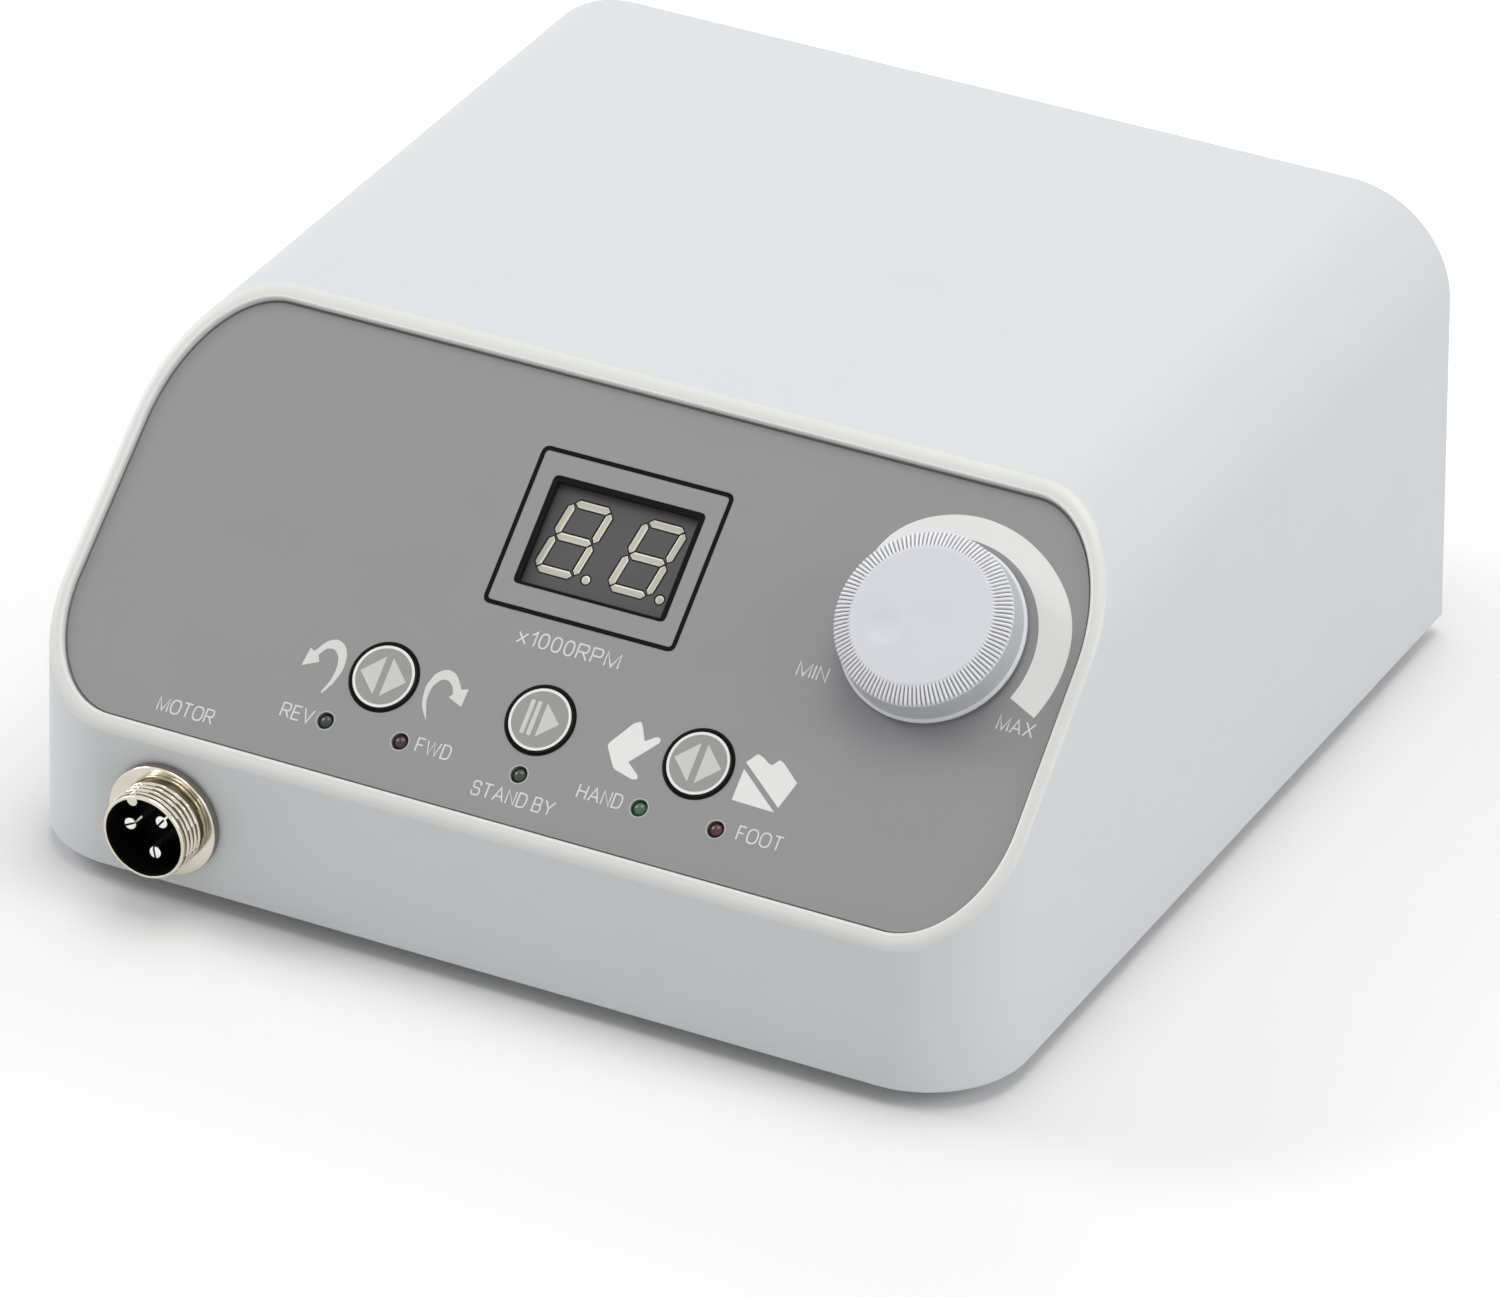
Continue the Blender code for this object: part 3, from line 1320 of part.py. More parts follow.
def build():
    clear_scene()
    materials = make_surfaces()
    housing = frame("housing_frame", None, (0, front_y, foot_height))
    fascia_place = Vector((0, 0, front_height)) - lip_rise * knob_axis
    fascia = frame("fascia_frame", housing, fascia_place, (fascia_angle, 0, 0))
    front = frame("front_frame", housing, (0, 0, 0), (math.pi / 2, 0, 0))
    rear = frame("rear_frame", housing, (0, rear_panel_y, 0), (math.pi / 2, 0, math.pi))
    make_cover(materials, housing, fascia)
    base = make_base(materials, housing)
    make_rear_panel(materials, rear)
    make_feet(materials, housing)
    make_case_screws(materials, housing)
    make_overlay(materials, fascia)
    make_display(materials, fascia)
    stem_tip = make_keys(materials, fascia)
    make_switches(materials, fascia, stem_tip)
    make_lamps(materials, fascia)
    make_control_board(materials, fascia)
    make_knob(materials, fascia)
    make_potentiometer(materials, fascia)
    make_round_socket(
        materials, front, (motor_socket_x, motor_socket_z, 0), motor_socket_turn, motor_sizes())
    make_round_socket(
        materials, rear, (-pedal_socket_x, pedal_socket_z, 0), pedal_socket_turn, pedal_sizes())
    make_inlet(materials, rear)
    make_power_switch(materials, rear)
    make_fuse_holder(materials, rear)
    board_high, standoffs = make_main_board(materials, housing)
    make_board_parts(materials, housing, board_high)
    pads = make_transformer(materials, housing)
    unite(base, standoffs, pads)
    make_ribbon(materials, housing, fascia_place, board_high)
    make_motor_lead(materials, housing, board_high)


build()
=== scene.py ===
import math
import bmesh
import bpy
import numpy as np
from mathutils import Matrix, Vector


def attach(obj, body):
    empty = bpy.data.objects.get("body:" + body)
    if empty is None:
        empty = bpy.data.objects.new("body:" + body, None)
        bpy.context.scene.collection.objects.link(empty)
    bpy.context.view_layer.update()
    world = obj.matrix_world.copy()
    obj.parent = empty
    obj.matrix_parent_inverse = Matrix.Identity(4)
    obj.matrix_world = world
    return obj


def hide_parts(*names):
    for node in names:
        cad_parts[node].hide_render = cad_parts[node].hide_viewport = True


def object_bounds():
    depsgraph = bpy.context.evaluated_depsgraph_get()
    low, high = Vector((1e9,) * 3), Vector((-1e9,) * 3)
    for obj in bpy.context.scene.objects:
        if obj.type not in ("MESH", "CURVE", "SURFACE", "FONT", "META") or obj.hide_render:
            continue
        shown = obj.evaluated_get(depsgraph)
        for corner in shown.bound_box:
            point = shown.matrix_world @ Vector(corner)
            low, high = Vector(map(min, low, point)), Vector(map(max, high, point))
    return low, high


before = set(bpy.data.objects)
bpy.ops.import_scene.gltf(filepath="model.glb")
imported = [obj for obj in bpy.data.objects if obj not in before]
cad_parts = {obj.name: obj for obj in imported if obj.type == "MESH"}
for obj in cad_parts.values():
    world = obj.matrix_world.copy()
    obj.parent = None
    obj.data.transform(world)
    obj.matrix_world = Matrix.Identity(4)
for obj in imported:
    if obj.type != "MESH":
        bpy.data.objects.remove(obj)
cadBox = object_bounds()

# Shapes are worked out in millimetres; the frame and the noise scales are in metres
mm = 0.001
perMetre = 1000
turn = 2 * math.pi
quarter = math.pi / 2
mergeReach = 1.5e-6
scene = bpy.context.scene
print("frame loaded:", len(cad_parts), "nodes")


def makePlace(origin, across, up):
    # A place is an origin in millimetres and three axes as rows: across, up, outward = across x up
    across = np.array(across, float)
    up = np.array(up, float)
    return {"origin": np.array(origin, float), "axes": np.stack([across, up, np.cross(across, up)])}


def shifted(place, x=0.0, y=0.0, z=0.0, angle=0.0):
    # The same axes moved along themselves and turned about the outward one
    origin = place["origin"] + np.array([x, y, z]) @ place["axes"]
    cosine = math.cos(angle)
    sine = math.sin(angle)
    spin = np.array([[cosine, sine, 0], [-sine, cosine, 0], [0, 0, 1]])
    return {"origin": origin, "axes": spin @ place["axes"]}


case = {
    "width": 168.0, "depth": 170.0, "height": 75.0, "frontHeight": 25.0, "slope": math.radians(41),
    "draft": 0.024, "corner": 17.0, "shoulder": 18.0, "wall": 2.5, "lip": 2.2, "fillet": 1.2,
    "pocketDepth": 2.3, "floorDrop": 4.8, "innerFillet": 0.3, "edge": 0.4, "frontY": -84.6, "rearY": 83.9,
    "baseZ": 3.0, "rimRise": 1.0, "filletHold": 0.1, "wallHold": 0.4,
    "wallShares": (0, 0.06, 0.3, 0.6, 0.9, 1)}
slopeCos = math.cos(case["slope"])
slopeSin = math.sin(case["slope"])
casePlace = makePlace((0, case["frontY"], case["baseZ"]), (1, 0, 0), (0, 1, 0))
panelOut = np.array([0, -slopeSin, slopeCos])
rimFront = casePlace["origin"] + np.array([0, 0, case["frontHeight"]])
panelPlace = makePlace(rimFront - case["rimRise"] * panelOut, (1, 0, 0), (0, slopeCos, slopeSin))
frontPlace = makePlace((0, case["frontY"], case["baseZ"]), (1, 0, 0), (0, 0, 1))
rearPlace = makePlace((0, case["rearY"], case["baseZ"]), (-1, 0, 0), (0, 0, 1))


def shadeMesh(mesh, soft):
    # Smooth but for edges steeper than soft degrees
    mesh.shade_smooth()
    mesh.set_sharp_from_angle(angle=math.radians(soft))


def putMesh(name, corners, faces, place, material, soft=35):
    # World corner = origin + corner in the place's axes; doubles merge and faces turn outward
    world = (place["origin"] + np.asarray(corners, float) @ place["axes"]) * mm
    mesh = bpy.data.meshes.new(name)
    mesh.from_pydata(world.tolist(), [], faces)
    work = bmesh.new()
    work.from_mesh(mesh)
    bmesh.ops.remove_doubles(work, verts=work.verts, dist=mergeReach)
    bmesh.ops.recalc_face_normals(work, faces=work.faces)
    work.to_mesh(mesh)
    work.free()
    shadeMesh(mesh, soft)
    item = bpy.data.objects.new(name, mesh)
    scene.collection.objects.link(item)
    if material:
        mesh.materials.append(material)
    return item


def dress(item, body, slot, *replaced):
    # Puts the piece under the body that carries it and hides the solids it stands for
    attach(item, body)
    if replaced:
        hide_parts(*replaced)


def gridFaces(rows, columns, first=0):
    # Quads between neighbouring rows; columns wrap round
    index = first + np.arange(rows * columns).reshape(rows, columns)
    right = np.roll(index, -1, axis=1)
    return np.stack([index[:-1], right[:-1], right[1:], index[1:]], axis=-1).reshape(-1, 4).tolist()


def endFaces(rows, columns, first=0):
    # One face over the first row and one over the last
    last = first + (rows - 1) * columns
    return [list(range(first, first + columns)), list(range(last, last + columns))]


def softened(points, steps=6):
    # Each row is x, y, radius; a corner becomes the parabola through radius before it and radius after it
    points = np.array(points, float)
    here = points[:, :2]
    reach = points[:, 2:3]
    before = np.roll(here, 1, axis=0) - here
    after = np.roll(here, -1, axis=0) - here
    start = here + reach * before / np.maximum(np.linalg.norm(before, axis=1, keepdims=True), 1e-9)
    end = here + reach * after / np.maximum(np.linalg.norm(after, axis=1, keepdims=True), 1e-9)
    t = np.linspace(0, 1, steps)[:, None, None]
    curve = (1 - t) ** 2 * start + 2 * t * (1 - t) * here + t ** 2 * end
    curve = curve.transpose(1, 0, 2).reshape(-1, 2)
    keep = np.append(True, np.linalg.norm(np.diff(curve, axis=0), axis=1) > 1e-6)
    return curve[keep]


def turnedGrid(profile, steps):
    # Point = (r cos a, r sin a, z) for each profile row (r, z) and each angle a
    profile = np.asarray(profile, float)
    angles = np.linspace(0, turn, steps, endpoint=False)
    radius = profile[:, :1]
    return np.stack([radius * np.cos(angles), radius * np.sin(angles),
                     np.broadcast_to(profile[:, 1:2], (len(profile), steps))], axis=-1)


def turnedPiece(name, profile, steps, place, material, soft=35):
    # A profile turned once round the outward axis; rows of no radius merge into the poles
    grid = turnedGrid(profile, steps)
    faces = gridFaces(*grid.shape[:2])
    return putMesh(name, grid.reshape(-1, 3), faces, place, material, soft)


def circleLoop(radius, centre=(0, 0), steps=64):
    # Point = centre + radius x (cos a, sin a)
    angles = np.linspace(0, turn, steps, endpoint=False)
    return np.stack([centre[0] + radius * np.cos(angles), centre[1] + radius * np.sin(angles)], axis=-1)


def boxLoop(width, height, centre=(0, 0), radius=0.0):
    # A rectangle about its centre, with rounded corners where a radius is given
    x = width / 2
    y = height / 2
    corners = [(x, y, radius), (-x, y, radius), (-x, -y, radius), (x, -y, radius)]
    loop = softened(corners) if radius else np.array(corners)[:, :2]
    return loop + np.array(centre)


def finalMesh(item):
    # The mesh of a curve, or of a mesh under its modifiers
    depsgraph = bpy.context.evaluated_depsgraph_get()
    return bpy.data.meshes.new_from_object(item.evaluated_get(depsgraph))


def flatPiece(name, loops, low, high, place, material):
    # A flat sheet between two heights; the first loop is its outline and the rest are holes or islands.
    # The curve is made a mesh before its place is applied
    curve = bpy.data.curves.new(name, "CURVE")
    curve.dimensions = "2D"
    curve.fill_mode = "BOTH"
    curve.extrude = (high - low) / 2
    for loop in loops:
        spline = curve.splines.new("POLY")
        spline.points.add(len(loop) - 1)
        points = np.zeros((len(loop), 4))
        points[:, :2] = loop
        spline.points.foreach_set("co", points.ravel())
        spline.use_cyclic_u = True
    item = bpy.data.objects.new(name, curve)
    scene.collection.objects.link(item)
    mesh = finalMesh(item)
    corners = np.empty(3 * len(mesh.vertices))
    mesh.vertices.foreach_get("co", corners)
    corners = corners.reshape(-1, 3)
    corners[:, 2] += (low + high) / 2
    faces = [list(face.vertices) for face in mesh.polygons]
    bpy.data.objects.remove(item)
    bpy.data.curves.remove(curve)
    bpy.data.meshes.remove(mesh)
    return putMesh(name, corners, faces, place, material)


def carve(item, *cutters, soft=35):
    # The cutters are taken away from the item's mesh for good
    for cutter in cutters:
        change = item.modifiers.new("carve", "BOOLEAN")
        change.operation = "DIFFERENCE"
        change.solver = "EXACT"
        change.object = cutter
    mesh = finalMesh(item)
    item.modifiers.clear()
    item.data = mesh
    shadeMesh(mesh, soft)
    for cutter in cutters:
        bpy.data.objects.remove(cutter)


def paintFaces(item, place, pick, material):
    # Faces whose centre, in millimetres along the place's axes, passes pick(x, y, z) take this finish
    mesh = item.data
    centres = np.empty(3 * len(mesh.polygons))
    mesh.polygons.foreach_get("center", centres)
    local = (centres.reshape(-1, 3) / mm - place["origin"]) @ place["axes"].T
    chosen = np.empty(len(mesh.polygons), np.int32)
    mesh.polygons.foreach_get("material_index", chosen)
    mesh.materials.append(material)
    chosen[pick(*local.T)] = len(mesh.materials) - 1
    mesh.polygons.foreach_set("material_index", chosen)


def hexColour(text):
    # sRGB hex to linear
    part = np.array([int(text[k:k + 2], 16) for k in (1, 3, 5)]) / 255
    linear = np.where(part <= 0.04045, part / 12.92, ((part + 0.055) / 1.055) ** 2.4)
    return (*linear.tolist(), 1.0)


def addNode(tree, kind, settings=None, links=None):
    # settings go to sockets by name, or to the node's own properties; links join sockets by name
    made = tree.nodes.new("ShaderNode" + kind)
    for key, value in (settings or {}).items():
        if isinstance(key, str) and not key[0].isupper():
            setattr(made, key, value)
        else:
            made.inputs[key].default_value = value
    for key, source in (links or {}).items():
        tree.links.new(source, made.inputs[key])
    return made


# Nearly all of a noise texture's values lie between these two
noiseLow = 0.3
noiseHigh = 0.7
# Every finish has this plain colour where its nodes aren't drawn
viewportGrey = (0.5, 0.5, 0.5, 1)


def surfaceFinish(name, light, dark, rough, grain, depth, cloud=12.0, swing=0.05, spread=(1, 1, 1),
                  **settings):
    # Colour drifts between light and dark over cloud mm; fine grain of grain mm stands depth mm high and lets
    # the roughness swing about its middle value
    material = bpy.data.materials.new(name)
    material.diffuse_color = viewportGrey
    material.use_nodes = True
    tree = material.node_tree
    shader = tree.nodes["Principled BSDF"]
    for key, value in settings.items():
        shader.inputs[key.replace("_", " ")].default_value = value
    where = addNode(tree, "TexCoord")
    laid = addNode(tree, "Mapping", {"Scale": spread}, {"Vector": where.outputs["Object"]})
    drift = addNode(tree, "TexNoise", {"Scale": perMetre / cloud, "Detail": 4.0}, {"Vector": laid.outputs[0]})
    blend = addNode(tree, "Mix", {"data_type": "RGBA", 6: hexColour(light), 7: hexColour(dark)},
                    {0: drift.outputs["Fac"]})
    fine = addNode(tree, "TexNoise", {"Scale": perMetre / grain, "Detail": 2.0}, {"Vector": laid.outputs[0]})
    varied = addNode(tree, "MapRange", {"From Min": noiseLow, "From Max": noiseHigh, "To Min": rough - swing,
                                        "To Max": rough + swing}, {"Value": fine.outputs["Fac"]})
    bump = addNode(tree, "Bump", {"Strength": 1.0, "Distance": depth * mm}, {"Height": fine.outputs["Fac"]})
    tree.links.new(blend.outputs[2], shader.inputs["Base Color"])
    tree.links.new(varied.outputs[0], shader.inputs["Roughness"])
    tree.links.new(bump.outputs[0], shader.inputs["Normal"])
    return material


def inkFinish(name, light, dark, rough=0.5, **settings):
    # Dried ink or a thin clear skin on polycarbonate: a smooth film with hardly any grain
    return surfaceFinish(name, light, dark, rough, 0.3, 0.003, **settings)


def metalFinish(name, light, dark, rough, grain, depth, cloud=4.0, **settings):
    # Bare or plated metal: the light colour is its mirror, the dark one where the skin is thin
    return surfaceFinish(name, light, dark, rough, grain, depth, cloud=cloud, Metallic=1.0, **settings)


def lensFinish(name, light, dark):
    # Tinted cast epoxy, unlit: a glossy clear skin over a deep colour
    return surfaceFinish(name, light, dark, 0.2, 0.8, 0.002, cloud=1.2, swing=0.03, Specular_IOR_Level=0.3,
                         Coat_Weight=0.3, Coat_Roughness=0.05)


finishes = {
    # Injection-moulded ABS from a fine spark-eroded tool: a pale satin skin with wide and weak highlights
    "shell": surfaceFinish("mouldedAbs", "#DBDDDF", "#D8DADD", 0.55, 0.35, 0.006, Specular_IOR_Level=0.25),
    # The same ABS from a polished tool: slightly cooler and tighter in its highlights than the case
    "knob": surfaceFinish("polishedAbs", "#DEDFE6", "#DBDCE3", 0.36, 0.4, 0.004),
    # The crests between the knob's grooves: the knob's ABS painted near white, a painted highlight along each
    # crest, with a tighter shine
    "ridge": surfaceFinish("crestHighlightAbs", "#F6F6F6", "#F0F0F1", 0.3, 0.4, 0.002),
    # The floors of the grooves: the knob's ABS painted darker and matt, painted shade in each groove
    "groove": surfaceFinish("grooveShadeAbs", "#BCBEC2", "#B3B5BA", 0.55, 0.3, 0.006),
    # The knob's skirt: the knob's ABS painted greyer and matt, painted shade on the skirt, which faces
    # sideways and a little down
    "skirt": surfaceFinish("skirtShadeAbs", "#C0C2C5", "#BABCC0", 0.5, 0.35, 0.008),
    # The raised lip: the case's ABS painted lighter and more neutral, with a tighter shine, a painted
    # highlight for the light the lip catches beside the cooler case
    "lip": surfaceFinish("lipHighlightAbs", "#E4E4E2", "#E0E0DE", 0.36, 0.4, 0.003),
    # The lip's inner arris: one thin painted highlight line
    "arris": surfaceFinish("arrisHighlightAbs", "#F1F1EF", "#EDEDEB", 0.3, 0.4, 0.002),
    # A grey matt bead down in the gap round the overlay: painted shade that darkens the gap
    "gapShade": surfaceFinish("greyGapShade", "#8A8A8C", "#808082", 0.6, 0.5, 0.01),
    # The overlay's rim: a thin dark line round it, painted shade along the gap's edge
    "edgeShade": surfaceFinish("darkEdgeShade", "#3C3C3D", "#343435", 0.6, 0.5, 0.01),
    # Velvet-textured polycarbonate with a grey print on its back: an even mid grey with a faint tooth
    "overlay": surfaceFinish("velvetPolycarbonate", "#959597", "#919193", 0.5, 0.25, 0.006),
    # Screen-printed polycarbonate disc on each key: a warmer and lighter grey than the overlay
    "key": surfaceFinish("greyKeyDisc", "#9D9E9B", "#979895", 0.45, 0.3, 0.004),
    # White screen ink over grey, a little dulled: the two arrows
    "dullInk": inkFinish("whiteScreenInk", "#E0E1DE", "#D9DAD7"),
    # White screen ink laid thicker: the crescent, the hand and the foot
    "whiteInk": inkFinish("opaqueScreenInk", "#EFF0EE", "#E8E9E7"),
    # The same ink laid twice: the keys' rings
    "ringInk": inkFinish("doubleScreenInk", "#F2F2F0", "#EAEAE8", 0.45),
    # The same ink in one thin pass, which lets some grey through: the key signs
    "softInk": inkFinish("dullScreenInk", "#D5D6D1", "#CBCCC7"),
    # Pale ink in hairline strokes: the words
    "thinInk": inkFinish("paleScreenInk", "#E4E5E3", "#DCDDDB"),
    # Black screen ink: the frame lines and the keys' outer rings; the dark strip round the display's bars is
    # this black too, painted shade in the gaps round them
    "blackInk": inkFinish("blackScreenInk", "#080809", "#0D0D0E", 0.6, Specular_IOR_Level=0.08),
    # A pale ring round each lamp's window: a painted highlight on the edge of the hole
    "edge": inkFinish("lampRimHighlight", "#BEC0BC", "#B2B4B0", 0.4),
    # Filled epoxy face of the display: matt dark grey with a cloudy fill
    "dark": surfaceFinish("displayEpoxy", "#494A49", "#444544", 0.5, 0.3, 0.004),
    # Closed-cell foam that lines the window and the key holes: black, with no shine
    "gasket": surfaceFinish("blackFoam", "#161617", "#1B1B1C", 0.8, 0.4, 0.02, Specular_IOR_Level=0.1),
    # Milky light pipes in the display's bars: cream, a little waxy
    "cream": surfaceFinish("milkyDiffuser", "#CBC8BB", "#C1BEB0", 0.35, 0.4, 0.004),
    # The bars' bevelled edges: a paler cream, a painted highlight round each bar
    "creamHighlight": surfaceFinish("bevelHighlightDiffuser", "#F6F3E8", "#EFECE0", 0.3, 0.4, 0.003),
    # Glass-filled nylon of the fittings: near black with a fine moulded grain
    "black": surfaceFinish("mouldedNylon", "#17181A", "#1D1E20", 0.45, 0.3, 0.008),
    # Phenolic cup of the sockets: deep black, half matt
    "cup": surfaceFinish("blackPhenolic", "#030303", "#060606", 0.5, 0.4, 0.004, Specular_IOR_Level=0.15),
    # Bright nickel over turned brass: a warm mirror, greyer where it looks at itself
    "nickel": metalFinish("nickelPlate", "#E2DDD1", "#D2CBBC", 0.12, 0.5, 0.003),
    # The same plate, greyer and blurred, on the flange's side: painted shade for the shaded case wall that
    # the side reflects
    "shadedNickel": metalFinish("flangeShadeNickel", "#A19B8F", "#8F897D", 0.25, 0.5, 0.004),
    # The thread's roots: brownish grey, painted shade for the shade and dark reflections down in the grooves
    "threadShade": metalFinish("rootShadeNickel", "#6E675A", "#5B5448", 0.35, 0.5, 0.004),
    # Silver-plated contact pins: nearly white
    "silver": metalFinish("silverPlate", "#F7F6F2", "#EEECE6", 0.16, 0.4, 0.002, cloud=3.0),
    # Zinc-plated steel: a bluish grey, blurred shine
    "steel": metalFinish("zincPlatedSteel", "#C9CCCE", "#B4B7BA", 0.32, 0.4, 0.005, cloud=5.0),
    # Clear-anodised aluminium sheet, brushed across: a soft streaked shine
    "aluminium": metalFinish("brushedAnodised", "#C6C8CA", "#B9BBBE", 0.38, 0.5, 0.006, cloud=12.0,
                             spread=(1, 1, 30)),
    # Solder mask over glass laminate: glossy deep green
    "laminate": surfaceFinish("solderMask", "#1E6B3A", "#17592F", 0.35, 0.6, 0.01),
    # Enamelled copper wire under varnish: ridged reddish brown
    "copper": surfaceFinish("enamelledWindings", "#B8672F", "#8E4A20", 0.35, 0.5, 0.05, Metallic=0.7),
    # Stacked silicon-steel sheets under varnish: dull grey with fine edges along the stack
    "iron": surfaceFinish("stackedSiliconSteel", "#6F7072", "#57585A", 0.5, 0.5, 0.03, spread=(1, 14, 1),
                          Metallic=0.9),
    # Moulded rubber of the feet: matt black with a dusty bloom
    "rubber": surfaceFinish("mouldedRubber", "#1B1B1C", "#242425", 0.75, 0.5, 0.02),
    # Shrunk PVC sleeve: smooth dark blue
    "sleeve": surfaceFinish("shrinkSleeve", "#1D2C5E", "#18254F", 0.35, 0.8, 0.004),
    # Flat cable: grey PVC in fine ribs
    "ribbon": surfaceFinish("ribbonCable", "#8E9096", "#A2A4A9", 0.55, 0.5, 0.02),
    # Glass tube of the fuse: clear, nearly smooth
    "glass": surfaceFinish("fuseGlass", "#E9EEEE", "#DDE4E4", 0.06, 0.6, 0.001, swing=0.02,
                           Transmission_Weight=0.6),
    # The lamps' lenses: unlit green, almost black; unlit red, brownish; unlit green, greyed; clearer green,
    # whose pale die shines through a little; clearer red
    "lamp_reverse": lensFinish("smokedGreenEpoxy", "#424A43", "#262D27"),
    "lamp_forward": lensFinish("smokedRedEpoxy", "#50383A", "#30201F"),
    "lamp_standby": lensFinish("dullGreenEpoxy", "#4A564C", "#2C352D"),
    "lamp_hand": lensFinish("greenEpoxy", "#547F57", "#304A34"),
    "lamp_foot": lensFinish("redEpoxy", "#643A3A", "#361E1E")}
print("materials made:", len(bpy.data.materials))


# Points on each stretch of half a ring, and rows on the rounded edges; the side's lower part takes lowShare
# of its height
ring = {"front": 6, "arc": 33, "low": 10, "back": 6, "top": 6, "lowShare": 0.62, "innerRows": 4,
        "outerRows": 9, "edgeRows": 5}


def caseRing(inset, drop=None, edge=0.0):
    # One ring of points, anticlockwise seen from the front: front wall, corner, side, shoulder and top, then
    # mirrored. The side stands at half the width less draft x height; corner and shoulder are quarter arcs.
    # With drop the ring lies that far under the panel's plane; without, on the edge below and behind
    half = case["width"] / 2 - inset
    corner = case["corner"] - inset
    radius = case["shoulder"] - inset
    springing = case["height"] - case["shoulder"]

    def sideAt(z):
        return half - case["draft"] * z

    def panelHeight(y):
        return case["frontHeight"] + (y * slopeSin - drop) / slopeCos

    def panelDepth(z):
        return ((z - case["frontHeight"]) * slopeCos + drop) / slopeSin

    arc = np.linspace(0, quarter, ring["arc"])
    frontShare = np.linspace(0, 1, ring["front"] + 1)[:-1]
    lowRun = np.linspace(0, 1, ring["low"] + 1)[1:]
    backRun = np.linspace(0, 1, ring["back"] + 1)[1:]
    topShare = np.linspace(1, 0, ring["top"] + 1)[1:]
    shrink = np.concatenate([(half - corner) / half * frontShare,
                             (half - corner + corner * np.sin(arc)) / half])
    depth = np.concatenate([np.full(ring["front"], inset), inset + corner - corner * np.cos(arc)])
    shoulderX = sideAt(springing) - radius
    overX = np.concatenate([shoulderX + radius * np.cos(arc), shoulderX * topShare])
    overZ = np.concatenate([springing + radius * np.sin(arc), np.full(ring["top"], springing + radius)])
    if drop is None:
        rear = case["depth"] - edge
        y = np.concatenate([depth, case["corner"] + lowRun * (rear - case["corner"]),
                            np.full(len(backRun) + len(overX), rear)])
        z = np.concatenate([np.full(len(shrink) + len(lowRun), edge),
                            edge + backRun[:-1] * (springing - edge), [springing], overZ])
        sides = z[len(shrink):len(shrink) + len(lowRun) + len(backRun)]
        x = np.concatenate([sideAt(edge) * shrink, sideAt(sides), overX])
    else:
        start = panelHeight(case["corner"])
        lowShare = ring["lowShare"]
        rise = np.concatenate([lowRun * lowShare, lowShare + backRun * (1 - lowShare)])
        sideZ = start + rise * (springing - start)
        lowZ = panelHeight(depth)
        x = np.concatenate([sideAt(lowZ) * shrink, sideAt(sideZ), overX])
        y = np.concatenate([depth, panelDepth(sideZ), panelDepth(overZ)])
        z = np.concatenate([lowZ, sideZ, overZ])
    right = np.stack([x, y, z], axis=-1)
    left = right[1:-1][::-1] * np.array([-1, 1, 1])
    return np.concatenate([right, left])


def unitRun(loop):
    # The direction along a closed loop at each point, from the point before to the point after
    run = np.roll(loop, -1, axis=0) - np.roll(loop, 1, axis=0)
    return run / np.linalg.norm(run, axis=1, keepdims=True)


def coverGrid():
    # Rows from the pocket's floor over the lip, down the walls to the open edge and back up the inside. The
    # lip's inner edge and the open edge are quarter arcs, and its outer edge is the parabola
    # (1 - t)^2 x start + 2 t (1 - t) x rim + t^2 x end
    rim = caseRing(0, 0)
    along = unitRun(rim)
    out = panelOut
    inward = np.cross(out, along)
    away = caseRing(0) - rim
    away /= np.linalg.norm(away, axis=1, keepdims=True)
    stretch = 1 / np.linalg.norm(np.cross(away, along), axis=1, keepdims=True)
    lip = case["lip"]
    soft = case["innerFillet"]
    fillet = case["fillet"]
    rows = [rim + lip * inward - case["pocketDepth"] * out, rim + lip * inward - soft * out]
    for angle in np.linspace(0, quarter, ring["innerRows"])[1:]:
        rows.append(rim + (lip - soft * (1 - math.cos(angle))) * inward - soft * (1 - math.sin(angle)) * out)
    rows.append(rim + (fillet + case["filletHold"]) * inward)
    start = rim + fillet * inward
    end = rim + fillet * stretch * away
    for t in np.linspace(0, 1, ring["outerRows"]):
        rows.append((1 - t) ** 2 * start + 2 * t * (1 - t) * rim + t ** 2 * end)
    held = rim + (fillet + case["wallHold"]) * stretch * away
    edge = case["edge"]
    low = caseRing(0, edge=edge + case["wallHold"])
    rows += [held + share * (low - held) for share in case["wallShares"]]
    for angle in np.linspace(0, quarter, ring["edgeRows"]):
        rows.append(caseRing(edge * (1 - math.cos(angle)), edge=edge * (1 - math.sin(angle))))
    inner = caseRing(case["wall"])
    roof = caseRing(case["wall"], case["floorDrop"])
    rows += [inner, inner + 0.5 * (roof - inner), roof]
    return np.stack(rows)


def drill(radius, centre, place, low, high, steps=48):
    # A round cutter between two heights
    return flatPiece("drill", [circleLoop(radius, centre, steps)], low, high, place, None)


panel = {
    "centreX": 1.5, "displayY": 48.6, "keyX": (-25.6, 1.5, 28.6), "keyY": 19.7, "keyHole": 5.65,
    "keyRing": 5.8, "lampX": (-32.1, -19.1, 1.5, 22.1, 35.1), "lampY": 10.6, "lampWindow": 1.4,
    "lampHighlightRing": 1.6, "knobX": 56.9, "knobY": 49.0, "knobHole": 6.65, "window": (24.8, 17.2),
    "windowCorner": 0.6, "gap": 0.3, "thickness": 1.0, "floor": 2.5}
motorX = -55.3
motorZ = 12.1
windowMiddle = (panel["centreX"], panel["displayY"])
knobMiddle = (panel["knobX"], panel["knobY"])
keyMiddles = [(x, panel["keyY"]) for x in panel["keyX"]]
lampMiddles = [(x, panel["lampY"]) for x in panel["lampX"]]

# What is cut through the cover's walls, and how far each cut runs past them
cuts = {"lamp": 1.7, "shaft": 3.8, "window": (25.8, 18.2), "socket": 7.9, "nutAcross": 17.5, "nutGap": 0.6,
        "nutLow": -5.3, "nutHigh": -2.2, "socketLow": -4, "socketHigh": 1, "panelPast": 3, "panelHigh": 0.5,
        "lipFrom": 0.35}


